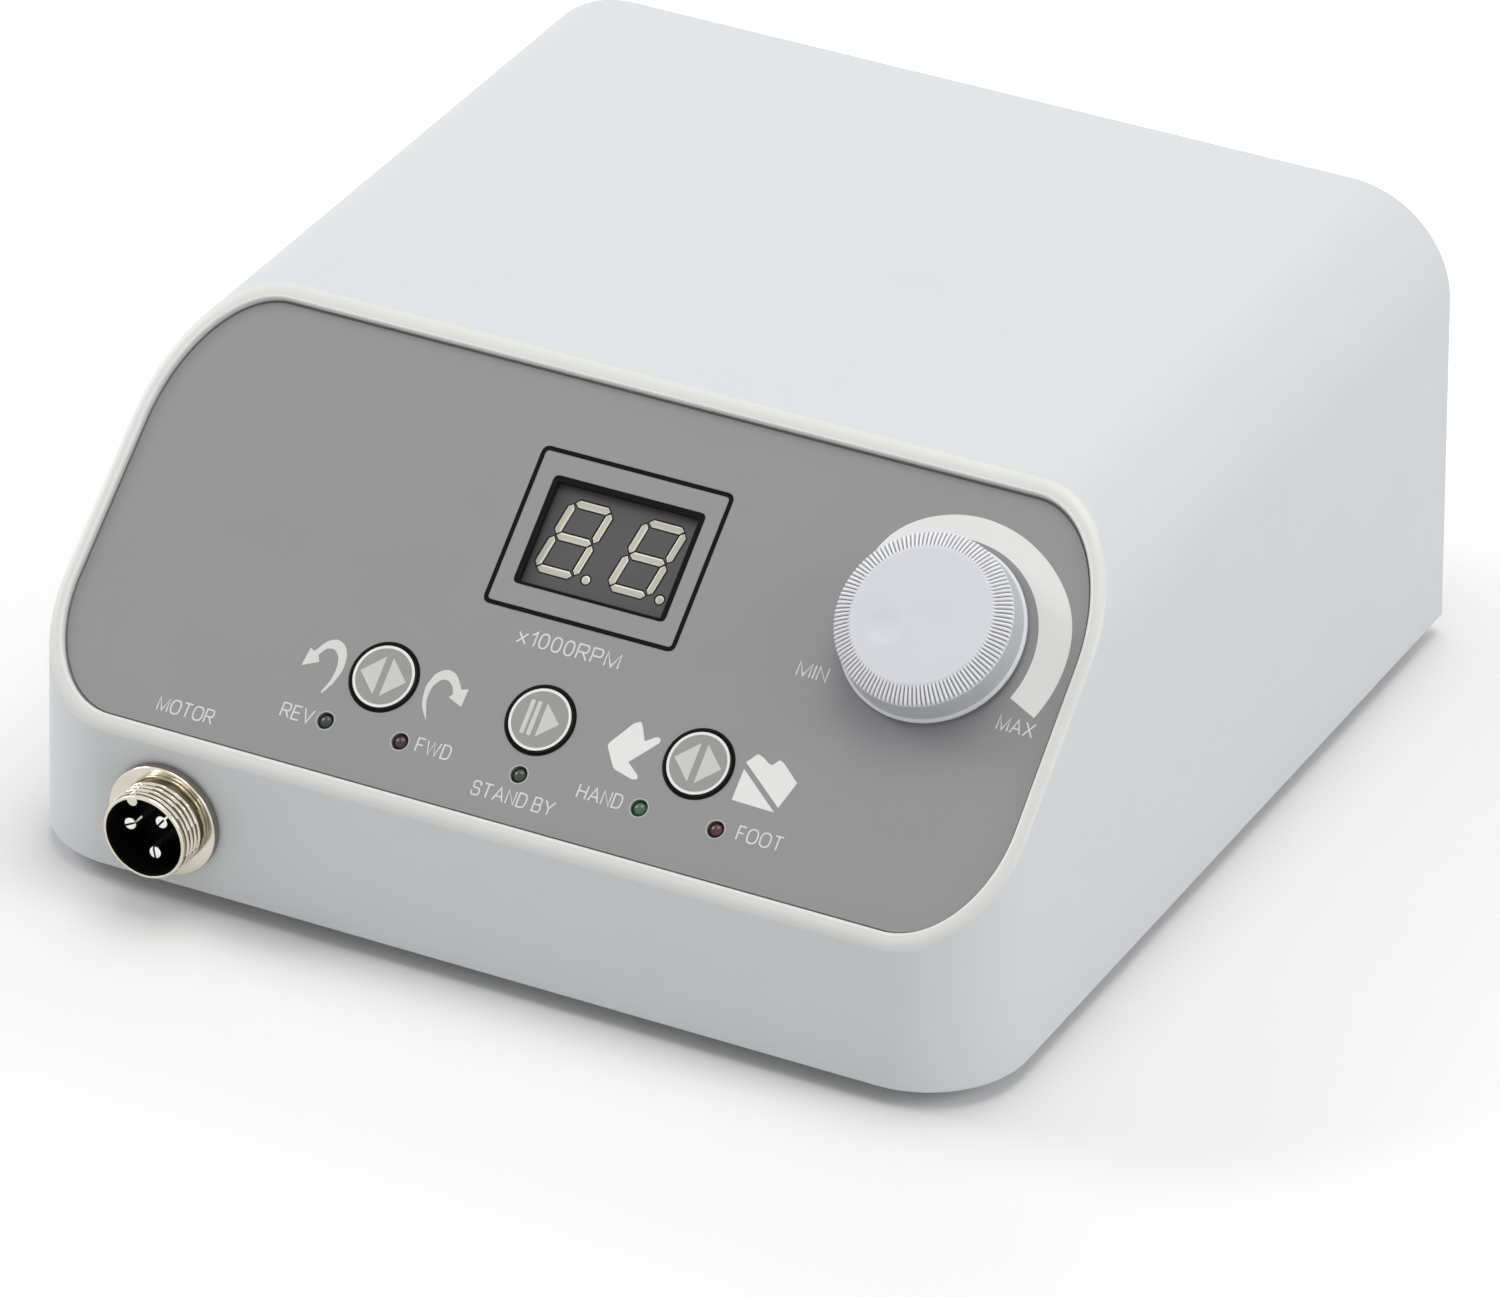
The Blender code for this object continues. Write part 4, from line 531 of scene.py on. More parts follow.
def makeCover():
    # The closed shell of coverGrid, with its openings cut through and its lip in a lighter finish of its own,
    # a painted highlight
    rows = coverGrid()
    faces = gridFaces(*rows.shape[:2]) + endFaces(*rows.shape[:2])
    cover = putMesh("coverShell", rows.reshape(-1, 3), faces, casePlace, finishes["shell"])
    low = -panel["thickness"] - panel["gap"] - panel["floor"] - cuts["panelPast"]
    high = cuts["panelHigh"]
    cutters = [drill(panel["keyHole"], middle, panelPlace, low, high) for middle in keyMiddles]
    cutters += [drill(cuts["lamp"], middle, panelPlace, low, high) for middle in lampMiddles]
    cutters.append(drill(cuts["shaft"], knobMiddle, panelPlace, low, high))
    cutters.append(flatPiece("drill", [boxLoop(*cuts["window"], windowMiddle)], low, high, panelPlace, None))
    motorMiddle = (motorX, motorZ)
    nutRadius = (cuts["nutAcross"] + cuts["nutGap"]) / math.sqrt(3)
    cutters.append(drill(cuts["socket"], motorMiddle, frontPlace, cuts["socketLow"], cuts["socketHigh"]))
    cutters.append(drill(nutRadius, motorMiddle, frontPlace, cuts["nutLow"], cuts["nutHigh"], 6))
    carve(cover, *cutters, soft=32)
    # The lip takes the lighter finish: painted highlight
    paintFaces(cover, panelPlace, lambda x, y, z: z > cuts["lipFrom"], finishes["lip"])
    dress(cover, "housing", "pale_abs", "top_cover")
    print("case made:", len(cover.data.polygons), "faces")


makeCover()


def panelOutline(inset):
    # The panel's rim in the panel's own axes, moved inwards along its normals
    rim = caseRing(0, 0)
    flat = np.stack([rim[:, 0], rim[:, 1] / slopeCos], axis=-1)
    along = unitRun(flat)
    return flat + inset * np.stack([-along[:, 1], along[:, 0]], axis=-1)


def makeOverlay():
    # The rim's outline, set in by the lip and the gap, with a hole for all that comes through
    loops = [panelOutline(case["lip"] + panel["gap"]),
             boxLoop(*panel["window"], windowMiddle, panel["windowCorner"])]
    loops += [circleLoop(panel["keyHole"], middle) for middle in keyMiddles]
    loops += [circleLoop(panel["lampWindow"], middle, 40) for middle in lampMiddles]
    loops.append(circleLoop(panel["knobHole"], knobMiddle))
    overlay = flatPiece("overlayPlate", loops, -panel["thickness"], 0, panelPlace, finishes["overlay"])
    dress(overlay, "housing", "grey_polycarbonate", "control_overlay")


# Thin bands round the panel, each from one inset of the rim to another and from one height to another
bands = {
    # A thin band standing on the lip's inner arris: a painted highlight line
    "lipArris": (1.7, 1.9, 0.98, 1.012, "arris", "pale_abs"),
    # A grey bead down in the gap round the overlay: painted shade
    "gapBead": (case["lip"] + 0.02, case["lip"] + panel["gap"] - 0.02, -panel["thickness"], -0.1, "gapShade",
                "grey_polycarbonate"),
    # A thin dark line on the overlay's rim: painted shade
    "overlayCutEdge": (case["lip"] + panel["gap"] + 0.01, case["lip"] + panel["gap"] + 0.12, -0.05, 0.008,
                       "edgeShade", "grey_polycarbonate")}

makeOverlay()
for name, (outer, inner, low, high, finish, slot) in bands.items():
    loops = [panelOutline(outer), panelOutline(inner)]
    dress(flatPiece(name, loops, low, high, panelPlace, finishes[finish]), "housing", slot)

ink = {"low": 0.004, "high": 0.03}


def printed(name, loops, finish, body="housing", low=ink["low"], high=ink["high"]):
    # One flat print; it stands just clear of the surface so that the two never share a plane
    dress(flatPiece(name, loops, low, high, panelPlace, finishes[finish]), body, "pale_abs")


def printedRing(name, outer, inner, middle, finish, steps=96, **extra):
    printed(name, [circleLoop(outer, middle, steps), circleLoop(inner, middle, steps)], finish, **extra)


glyphs = {
    # Each letter is a width against the capital height and strokes in a unit box; a row is x, y and corner
    # radius, and a stroke that ends on its first point is closed
    "A": (0.92, [(0, 0), (0.5, 1), (1, 0)], [(0.17, 0.34), (0.83, 0.34)]),
    "B": (0.7, [(0, 1), (0.92, 1, 0.24), (0.92, 0.52, 0.24), (0, 0.52), (0, 1)],
          [(0, 0.52), (1, 0.52, 0.26), (1, 0, 0.26), (0, 0), (0, 0.52)]),
    "D": (0.76, [(0, 0), (1, 0, 0.5), (1, 1, 0.5), (0, 1), (0, 0)]),
    "E": (0.68, [(1, 0), (0, 0), (0, 1), (0.97, 1)], [(0, 0.52), (0.9, 0.52)]),
    "F": (0.62, [(0, 0), (0, 1), (1, 1)], [(0, 0.52), (0.88, 0.52)]),
    "H": (0.76, [(0, 0), (0, 1)], [(1, 0), (1, 1)], [(0, 0.52), (1, 0.52)]),
    "I": (0.001, [(0, 0), (0, 1)]),
    "M": (0.98, [(0, 0), (0, 1), (0.5, 0.04), (1, 1), (1, 0)]),
    "N": (0.72, [(0, 0), (0, 1), (1, 0), (1, 1)]),
    "O": (0.92, [(0.5, 0), (1, 0, 0.46), (1, 1, 0.46), (0, 1, 0.46), (0, 0, 0.46), (0.5, 0)]),
    "P": (0.7, [(0, 0), (0, 1), (1, 1, 0.27), (1, 0.46, 0.27), (0, 0.46)]),
    "R": (0.76, [(0, 0), (0, 1), (0.96, 1, 0.25), (0.96, 0.48, 0.25), (0, 0.48)], [(0.5, 0.48), (1, 0)]),
    "S": (0.7, [(0, 0.3), (0, 0, 0.28), (1, 0, 0.28), (1, 0.5, 0.22), (0.04, 0.54, 0.22), (0.04, 1, 0.24),
                (0.94, 1, 0.24), (0.94, 0.74)]),
    "T": (0.76, [(0, 1), (1, 1)], [(0.5, 0), (0.5, 1)]),
    "V": (0.88, [(0, 1), (0.5, 0), (1, 1)]),
    "W": (1.24, [(0, 1), (0.25, 0), (0.5, 0.97), (0.75, 0), (1, 1)]),
    "X": (0.86, [(0, 0), (1, 1)], [(0, 1), (1, 0)]),
    "Y": (0.86, [(0, 1), (0.5, 0.44), (1, 1)], [(0.5, 0), (0.5, 0.44)]),
    "x": (0.62, [(0, 0), (1, 0.72)], [(0, 0.72), (1, 0)]),
    "0": (0.62, [(0.5, 0), (1, 0, 0.48), (1, 1, 0.48), (0, 1, 0.48), (0, 0, 0.48), (0.5, 0)]),
    "1": (0.32, [(0, 0.74), (0.55, 0.82, 0.15), (1, 1), (1, 0)])}
lettering = {"weight": 0.1, "gap": 0.3, "space": 0.42, "step": 0.0015, "steps": 4, "mitreLeast": 0.35}


def atHeight(loop, height):
    # Each row of the loop with the height put behind it
    return np.c_[loop, np.full(len(loop), height)]


def strokePrism(points, weight, low, high):
    # Side points = point +- weight / 2 x mitre, where mitre = (n1 + n2) / (1 + n1.n2) of neighbouring normals
    closed = np.allclose(points[0], points[-1])
    runs = np.diff(points, axis=0)
    runs /= np.linalg.norm(runs, axis=1, keepdims=True)
    normals = np.stack([-runs[:, 1], runs[:, 0]], axis=-1)
    before = np.concatenate([normals[-1:] if closed else normals[:1], normals])
    after = np.concatenate([normals, normals[:1] if closed else normals[-1:]])
    mitre = (before + after) / np.maximum(1 + np.sum(before * after, axis=1, keepdims=True),
                                          lettering["mitreLeast"])
    left = points + mitre * weight / 2
    right = points - mitre * weight / 2
    sides = [atHeight(left, low), atHeight(right, low), atHeight(right, high), atHeight(left, high)]
    return np.stack(sides, axis=1), closed


def printedWord(name, text, x, y, width, height):
    # Letters stand side by side in a box of the given size; each stroke is a thin prism, stepped to lie clear
    strokes = []
    start = 0.0
    for letter in text:
        if letter == " ":
            start += lettering["space"]
            continue
        span, *paths = glyphs[letter]
        for path in paths:
            rows = np.array([(*row, 0.0)[:3] for row in path])
            line = softened(rows, 7) * np.array([span, 1.0]) + np.array([start, 0.0])
            strokes.append(line)
        start += span + lettering["gap"]
    every = np.concatenate(strokes)
    low = every.min(axis=0)
    weight = lettering["weight"] * height
    scale = (np.array([width, height]) - weight) / (every.max(axis=0) - low)
    corners = []
    faces = []
    first = 0
    for k, line in enumerate(strokes):
        laid = (line - low) * scale + np.array([x - width / 2, y - height / 2]) + weight / 2
        top = ink["high"] + lettering["step"] * (k % lettering["steps"])
        rows, closed = strokePrism(laid, weight, ink["low"], top)
        count = len(rows)
        faces += gridFaces(count, 4, first)
        if not closed:
            faces += endFaces(count, 4, first)
        corners.append(rows.reshape(-1, 3))
        first += 4 * count
    item = putMesh(name, np.concatenate(corners), faces, panelPlace, finishes["thinInk"])
    dress(item, "housing", "pale_abs")


# Name, text, middle across and up the panel, width and height
words = (
    ("wordMotor", "MOTOR", -54.84, 6.27, 9.8, 2.45), ("wordReverse", "REV", -36.99, 10.56, 5.6, 2.45),
    ("wordForward", "FWD", -13.35, 10.87, 6.0, 2.45), ("wordStandBy", "STAND BY", 2.04, 6.8, 14.1, 2.45),
    ("wordHand", "HAND", 15.4, 10.7, 7.6, 2.45), ("wordFoot", "FOOT", 42.4, 11.04, 7.6, 2.45),
    ("wordSpeed", "x1000RPM", 1.5, 31.81, 17.6, 2.6), ("wordLowest", "MIN", 40.53, 38.34, 5.1, 2.45),
    ("wordHighest", "MAX", 74.59, 38.33, 6.1, 2.45))
for word in words:
    printedWord(*word)

frameLine = {"low": (-15.15, 35.4), "high": (17.95, 62.15), "width": 0.74, "corner": 1.4,
             "windowSize": (26.2, 18.35), "windowAt": (1.55, 48.8), "windowCorner": 1.0}
lineMiddle = [(a + b) / 2 for a, b in zip(frameLine["low"], frameLine["high"])]
lineSize = [b - a for a, b in zip(frameLine["low"], frameLine["high"])]
printed("displayLine", [
    boxLoop(*lineSize, lineMiddle, frameLine["corner"]),
    boxLoop(*[size - 2 * frameLine["width"] for size in lineSize], lineMiddle,
            frameLine["corner"] - frameLine["width"])], "blackInk")
printed("windowLine", [
    boxLoop(*frameLine["windowSize"], frameLine["windowAt"], frameLine["windowCorner"]),
    boxLoop(*panel["window"], windowMiddle, panel["windowCorner"])], "blackInk")
for k, middle in enumerate(keyMiddles):
    printedRing(f"keyRing{k + 1}", panel["keyRing"], panel["keyHole"], middle, "blackInk")
# A pale ring round each lamp's window: painted highlight
for k, middle in enumerate(lampMiddles):
    printedRing(f"lampHighlightRing{k + 1}", panel["lampHighlightRing"], panel["lampWindow"], middle, "edge", steps=48)

# The signs' outlines on the panel: a row is x, y and corner radius
reverseArrow = softened([
    (-39.43, 18.04, 0), (-39.07, 21.09, 0), (-38.26, 20.75, 0.2), (-36.86, 22.86, 0.8), (-35.2, 23.6, 0.8),
    (-33.7, 22.96, 0.8), (-32.75, 21.43, 0.8), (-32.5, 19.14, 1.0), (-33.3, 16.42, 1.0), (-34.45, 14.61, 0.1),
    (-34.7, 14.81, 0.1), (-33.85, 16.79, 0.9), (-33.6, 19.2, 1.0), (-34.15, 21.05, 0.6), (-35.26, 21.94, 0.5),
    (-36.42, 21.7, 0.5), (-37.38, 20.37, 0.1), (-36.82, 19.27, 0)])
forwardArrow = softened([
    (-16.45, 14.93, 0.1), (-18.01, 17.01, 0.8), (-18.6, 20.0, 1.0), (-17.74, 22.5, 0.8), (-16.2, 23.6, 0.8),
    (-14.5, 23.28, 0.8), (-13.3, 21.95, 0.6), (-12.72, 21.0, 0), (-11.58, 21.41, 0), (-11.7, 18.37, 0),
    (-14.23, 19.36, 0), (-13.74, 20.0, 0.3), (-14.3, 21.2, 0.5), (-15.38, 21.95, 0.5), (-16.37, 21.79, 0.5),
    (-17.45, 20.48, 0.8), (-17.61, 18.12, 0.9), (-16.42, 15.1, 0)])
handShape = softened([
    (16.15, 23.1, 0.3), (17.18, 23.71, 0.3), (17.79, 22.9, 0.3), (18.91, 20.84, 0.3), (20.54, 22.06, 0.3),
    (21.31, 21.91, 0.25), (21.3, 21.21, 0.3), (17.66, 17.04, 0.1), (19.9, 15.43, 0.2), (20.06, 14.84, 0.2),
    (19.31, 14.58, 0.25), (15.77, 15.42, 0.5), (13.33, 18.84, 0.6)])
heelShape = softened([(35.83, 20.85, 0.1), (43.06, 15.52, 0.1), (35.79, 15.69, 0.1)])
toeShape = softened([
    (35.74, 21.93, 0.1), (37.09, 23.68, 0.3), (38.05, 23.39, 0.2), (39.51, 22.54, 0.3), (40.03, 22.63, 0.2),
    (40.75, 23.65, 0.3), (41.56, 23.37, 0.2), (44.79, 20.88, 0.1), (43.37, 16.37, 0.1)])
printed("arrowReverse", [reverseArrow], "dullInk")
printed("arrowForward", [forwardArrow], "dullInk")
printed("signHand", [handShape], "whiteInk")
printed("signFoot", [heelShape, toeShape], "whiteInk")


scale = {"from": math.radians(212.4), "sweep": math.radians(236), "steps": 140, "soft": 9,
         "shares": (0.2, 0.25, 0.28, 0.3, 0.315, 0.34, 0.38, 0.43, 0.5, 0.58, 0.65, 0.7, 0.74, 0.79, 0.83,
                    0.87, 1.0),
         "outer": (15.9, 16.4, 17.1, 17.6, 18.0, 18.45, 18.95, 19.2, 19.45, 19.62, 19.9, 20.25, 20.65, 21.2,
                   21.45, 21.55, 21.7),
         "innerShares": (0, 0.56, 1), "inner": (15.8, 15.7, 16.5)}


def crescentLoop():
    # Two radii against the share of the sweep, clockwise from MIN, each read off its table; the outer one is
    # then averaged over a few neighbours
    share = np.linspace(scale["shares"][0], 1, scale["steps"])
    angle = scale["from"] - share * scale["sweep"]
    outer = np.interp(share, scale["shares"], scale["outer"])
    soft = scale["soft"]
    outer = np.convolve(np.pad(outer, soft // 2, mode="edge"), np.ones(soft) / soft, mode="valid")
    inner = np.interp(share, scale["innerShares"], scale["inner"])
    outside = np.stack([outer * np.cos(angle), outer * np.sin(angle)], axis=-1)
    inside = np.stack([inner * np.cos(angle), inner * np.sin(angle)], axis=-1)[::-1]
    return np.concatenate([outside, inside]) + np.array(knobMiddle)


printed("speedScale", [crescentLoop()], "whiteInk")
print("overlay and prints made")


foam = {"low": -0.99, "high": 0.0, "window": (24.78, 17.18), "windowCorner": 0.59,
        "windowInside": (24.5, 16.9), "insideCorner": 0.45, "key": 5.64, "keyInside": 5.4}


def lining(name, outline, inside):
    # A thin black foam strip round the wall of an opening in the overlay
    strip = flatPiece(name, [outline, inside], foam["low"], foam["high"], panelPlace, finishes["gasket"])
    dress(strip, "housing", "dark_display_epoxy")


digits = {
    "height": 12.7, "pitch": 12.7, "slant": math.radians(10.5), "width": 7.85, "bar": 1.3, "mitre": 0.2,
    "point": 0.75, "pointShift": 4.4, "shift": (-0.3, 0.4), "top": -1.3, "inset": 0.06, "bevel": 0.3,
    "bevelLow": -0.05, "bevelHigh": 0.09, "outline": 0.17, "outlineInner": 0.01, "outlineLow": 0.002,
    "outlineHigh": 0.012, "backLow": -3.9, "backHigh": -2.7, "back": (22.6, 15.0), "clear": 0.01}


def barLoop(a, b, width, mitre):
    # A hexagon along a to b: points at mitre from each end, shoulders width / 2 further in
    ahead = (b - a) / np.linalg.norm(b - a)
    across = np.array([-ahead[1], ahead[0]]) * width / 2
    tip = ahead * mitre
    step = ahead * (mitre + width / 2)
    return np.array([a + tip, a + step - across, b - step - across, b - tip, b - step + across,
                     a + step + across])


def digitLoops(centreX, shrink):
    # Corner = (side x half + y tan slant, y) about the digit's centre; the eighth loop is the decimal point
    half = (digits["width"] - digits["bar"]) / 2
    tall = (digits["height"] - digits["bar"]) / 2
    middle = np.array([centreX, 0]) + np.array(digits["shift"])

    def corner(side, level):
        return middle + np.array([side * half + level * tall * math.tan(digits["slant"]), level * tall])

    across = [((-1, level), (1, level)) for level in (1, 0, -1)]
    upright = [((side, level), (side, level + 1)) for side in (-1, 1) for level in (-1, 0)]
    loops = [barLoop(corner(*low), corner(*high), digits["bar"] - 2 * shrink, digits["mitre"] + shrink)
             for low, high in across + upright]
    loops.append(circleLoop(digits["point"] - shrink, middle + np.array([digits["pointShift"], -tall]), 32))
    return loops


def barStack(levels, closed):
    # Every bar's outline at each level, given as height and shrink, joined ring to ring. Closed, the last
    # ring also joins the first; otherwise the two ends have faces
    corners = []
    faces = []
    first = 0
    for side in (-1, 1):
        rings = [digitLoops(side * digits["pitch"] / 2, shrink) for height, shrink in levels]
        for loops in zip(*rings):
            count = len(loops[0])
            corners += [atHeight(loop, height) for loop, (height, shrink) in zip(loops, levels)]
            faces += gridFaces(len(levels), count, first)
            if closed:
                start = first + np.arange(count)
                end = start + count * (len(levels) - 1)
                faces += np.stack([end, np.roll(end, -1), np.roll(start, -1), start], axis=-1).tolist()
            else:
                faces += endFaces(len(levels), count, first)
            first += count * len(levels)
    return corners, faces


def makeBars():
    # Each bar rises from the back plate through the face and ends in a bevel
    place = shifted(panelPlace, *windowMiddle)
    bevelLow = digits["top"] + digits["bevelLow"]
    bevelHigh = digits["top"] + digits["bevelHigh"]
    corners, faces = barStack(((digits["backHigh"], digits["inset"]), (bevelLow, digits["inset"]),
                               (bevelHigh, digits["bevel"])), False)
    first = sum(len(part) for part in corners)
    plate = boxLoop(*digits["back"])
    corners += [atHeight(plate, height) for height in (digits["backLow"], digits["backHigh"])]
    faces += gridFaces(2, 4, first) + endFaces(2, 4, first)
    bars = putMesh("displayBars", np.concatenate(corners), faces, place, finishes["cream"], soft=20)

    def onBarBevel(x, y, z):
        return (z > bevelLow + digits["clear"]) & (z < bevelHigh - digits["clear"])

    # The bevels take the paler cream: painted highlight
    paintFaces(bars, place, onBarBevel, finishes["creamHighlight"])
    dress(bars, "housing", "cream_diffuser", "display_diffuser")

    # A dark strip round each bar, on the face: painted shade in the gap round the bar
    outer = -digits["outline"]
    inner = -digits["outlineInner"]
    low = digits["top"] + digits["outlineLow"]
    high = digits["top"] + digits["outlineHigh"]
    corners, faces = barStack(((low, outer), (high, outer), (high, inner), (low, inner)), True)
    outline = putMesh("displayBarShade", np.concatenate(corners), faces, place, finishes["blackInk"])
    dress(outline, "housing", "dark_display_epoxy")


makeBars()
lining("windowLining", boxLoop(*foam["window"], windowMiddle, foam["windowCorner"]),
       boxLoop(*foam["windowInside"], windowMiddle, foam["insideCorner"]))
for k, middle in enumerate(keyMiddles):
    loops = [circleLoop(radius, middle, 96) for radius in (foam["key"], foam["keyInside"])]
    lining(f"keyLining{k + 1}", *loops)


key = {"radius": 5.3, "top": 0.3, "round": 0.3, "flange": 6.1, "flangeTop": -4.1, "flangeLow": -4.9,
       "break": 0.1, "stem": 1.3, "tip": -6.3, "disc": 4.6, "ring": 5.04, "edge": 5.26, "bar": (0.7, 5.6),
       "barX": (-2.1, -0.95)}
# The triangles on a key: from x to x, and half the height of the upright side
keyArrows = {"start_key": [(0.25, 3.3, 2.8)], "direction_key": [(-0.65, -4.05, 3.2), (0.5, 3.9, 3.2)]}
keyArrows["control_key"] = keyArrows["direction_key"]
keyNames = ("direction_key", "start_key", "control_key")


def keyProfile():
    # Radius and height, from the cap's middle over the flange to the end of the stem
    return softened([
        (0, key["top"], 0), (key["radius"], key["top"], key["round"]), (key["radius"], key["flangeTop"], 0),
        (key["flange"], key["flangeTop"], key["break"]), (key["flange"], key["flangeLow"], key["break"]),
        (key["stem"], key["flangeLow"], 0), (key["stem"], key["tip"], key["break"]), (0, key["tip"], 0)])


def keySigns(name, middle):
    # Two upright bars on the start key, and the triangles of each key
    x, y = middle
    bars = [boxLoop(*key["bar"], (x + across, y)) for across in key["barX"]] if name == "start_key" else []
    arrows = [np.array([(x + near, y + tall), (x + far, y), (x + near, y - tall)])
              for near, far, tall in keyArrows[name]]
    return bars + arrows


for k, name in enumerate(keyNames):
    middle = keyMiddles[k]
    cap = turnedPiece(f"keyCap{k + 1}", keyProfile(), 96, shifted(panelPlace, *middle), finishes["black"])
    dress(cap, name, "grey_key_plastic", name)
    heights = {"body": name, "low": key["top"] + ink["low"], "high": key["top"] + ink["high"]}
    printed(f"key{k + 1}Disc", [circleLoop(key["disc"], middle, 96)], "key", **heights)
    printedRing(f"key{k + 1}Ring", key["ring"], key["disc"], middle, "ringInk", **heights)
    printedRing(f"key{k + 1}Edge", key["edge"], key["ring"], middle, "blackInk", **heights)
    heights["low"] = heights["high"]
    heights["high"] += ink["high"] - ink["low"]
    printed(f"key{k + 1}Sign", keySigns(name, middle), "softInk", **heights)
print("keys made")


lamp = {"radius": 1.36, "top": 0.1, "flange": 1.9, "flangeTop": -4.1, "flangeLow": -4.9, "lead": 0.5,
        "leadLow": -9.0, "spacing": 2.5}
lampColours = {"lamp_reverse": "green", "lamp_forward": "red", "lamp_standby": "green", "lamp_hand": "green",
               "lamp_foot": "red"}


def makeLamp(name, colour, middle):
    # A dome of radius x (cos a, sin a - 1) on a straight barrel with a flange, and two square leads
    bend = np.linspace(quarter, 0, 10)
    dome = np.c_[lamp["radius"] * np.cos(bend), lamp["top"] - lamp["radius"] * (1 - np.sin(bend))]
    profile = np.concatenate([dome, [(lamp["radius"], lamp["flangeTop"]), (lamp["flange"], lamp["flangeTop"]),
                                     (lamp["flange"], lamp["flangeLow"]), (0, lamp["flangeLow"])]])
    grid = turnedGrid(profile, 40)
    faces = gridFaces(*grid.shape[:2])
    corners = [grid.reshape(-1, 3)]
    for side in (-1, 1):
        square = boxLoop(lamp["lead"], lamp["lead"], (side * lamp["spacing"] / 2, 0))
        first = sum(len(part) for part in corners)
        corners += [atHeight(square, z) for z in (lamp["flangeLow"], lamp["leadLow"])]
        faces += gridFaces(2, 4, first) + endFaces(2, 4, first)
    place = shifted(panelPlace, *middle)
    item = putMesh(name + "Lens", np.concatenate(corners), faces, place, finishes[name])
    dress(item, "housing", colour + "_lamp_epoxy", name)


for (name, colour), middle in zip(lampColours.items(), lampMiddles):
    makeLamp(name, colour, middle)
print("lamps made")


knob = {
    "grooves": 120, "perGroove": 8, "depth": 0.5, "face": 10.9, "rim": 13.9, "faceHeight": 7.7,
    "rimHeight": 6.7, "bevelPower": 1.7, "groovePower": 0.8, "runIn": 0.1, "runLength": 0.7, "grooveLow": 5.9,
    "dimpleReach": 5.9, "dimpleRadius": 3.1, "dimpleDepth": 0.27, "dimplePower": 1.3,
    "rest": math.radians(212.4), "faceRadii": (0, 1.0), "dimpleRadii": (1.8, 9.4, 26),
    "outerRadii": (10, 10.5, 10.8), "bevelSteps": 14,
    # Radius, height and corner radius, from the rim over the skirt and the underside to the shaft's bore
    "side": [(13.9, 6.7, 0), (14.0, 6.55, 0.12), (14.02, 5.85, 0.1), (14.3, 1.5, 0.5), (14.7, 1.35, 0.15),
             (14.7, 0.75, 0.1), (14.6, 0.7, 0), (13.4, 0.7, 0), (12.9, 5.1, 0.3), (5.0, 5.1, 0),
             (5.0, 1.7, 0), (3.1, 1.7, 0), (3.1, 6.4, 0), (0, 6.4, 0)],
    # Where the second finishes lie: radii of the bevel, and the skirt's least radius, low and high
    "painted": (11.25, 14.05), "skirt": (13.8, 1.6, 5.8), "ridgeBelow": 0.25, "grooveAbove": 0.6}


def grooveWave(angle):
    # 1 in the middle of a groove and 0 on a crest
    return 1 - np.abs(np.sin(knob["grooves"] / 2 * angle)) ** knob["groovePower"]


def knobGrid():
    # Rows run from the face's centre over the bevel and the skirt to the inside. The bevel falls by
    # share^1.7, its grooves by depth x window(r) x (1 - |sin(n angle / 2)|^0.8) and the dimple by
    # depth x (1 - q^2)^1.3, where q is the distance from the dimple's centre over its radius
    faceRadii = np.concatenate([knob["faceRadii"], np.linspace(*knob["dimpleRadii"]), knob["outerRadii"]])
    face = atHeight(faceRadii, knob["faceHeight"])
    share = np.linspace(0, 1, knob["bevelSteps"])
    fall = share ** knob["bevelPower"] * (knob["faceHeight"] - knob["rimHeight"])
    bevel = np.c_[knob["face"] + share * (knob["rim"] - knob["face"]), knob["faceHeight"] - fall]
    profile = np.concatenate([face, bevel, softened(knob["side"])[1:]])
    grid = turnedGrid(profile, knob["grooves"] * knob["perGroove"])
    x, y, z = np.moveaxis(grid, -1, 0)
    radius = np.hypot(x, y)
    rise = np.clip((radius - knob["face"] - knob["runIn"]) / knob["runLength"], 0, 1)
    window = rise * rise * (3 - 2 * rise) * (z > knob["grooveLow"]) * (radius > knob["face"])
    groove = knob["depth"] * window * grooveWave(np.arctan2(y, x))
    offset = np.hypot(x - knob["dimpleReach"], y) / knob["dimpleRadius"]
    dimple = knob["dimpleDepth"] * np.clip(1 - offset ** 2, 0, 1) ** knob["dimplePower"]
    grid[..., 2] -= groove + dimple * (z > knob["rimHeight"])
    return grid


def makeKnob():
    rows = knobGrid()
    place = shifted(panelPlace, *knobMiddle, 0, knob["rest"])
    grip = putMesh("knobGrip", rows.reshape(-1, 3), gridFaces(*rows.shape[:2]), place, finishes["knob"], 50)

    def onBevel(x, y, z):
        # Between the flat face and the rim, clear of the grooves' run-in
        radius = np.hypot(x, y)
        low, high = knob["painted"]
        return (radius > low) & (radius < high) & (z > knob["grooveLow"])

    def onRidge(x, y, z):
        return onBevel(x, y, z) & (grooveWave(np.arctan2(y, x)) < knob["ridgeBelow"])

    def inGroove(x, y, z):
        return onBevel(x, y, z) & (grooveWave(np.arctan2(y, x)) > knob["grooveAbove"])

    def onSkirt(x, y, z):
        least, low, high = knob["skirt"]
        return (np.hypot(x, y) > least) & (z > low) & (z < high)

    # Painted highlight on the crests, painted shade in the grooves and on the skirt
    paintFaces(grip, place, onRidge, finishes["ridge"])
    paintFaces(grip, place, inGroove, finishes["groove"])
    paintFaces(grip, place, onSkirt, finishes["skirt"])
    dress(grip, "speed_knob", "pale_abs", "speed_knob")
    print("knob made:", len(grip.data.polygons), "faces")


makeKnob()


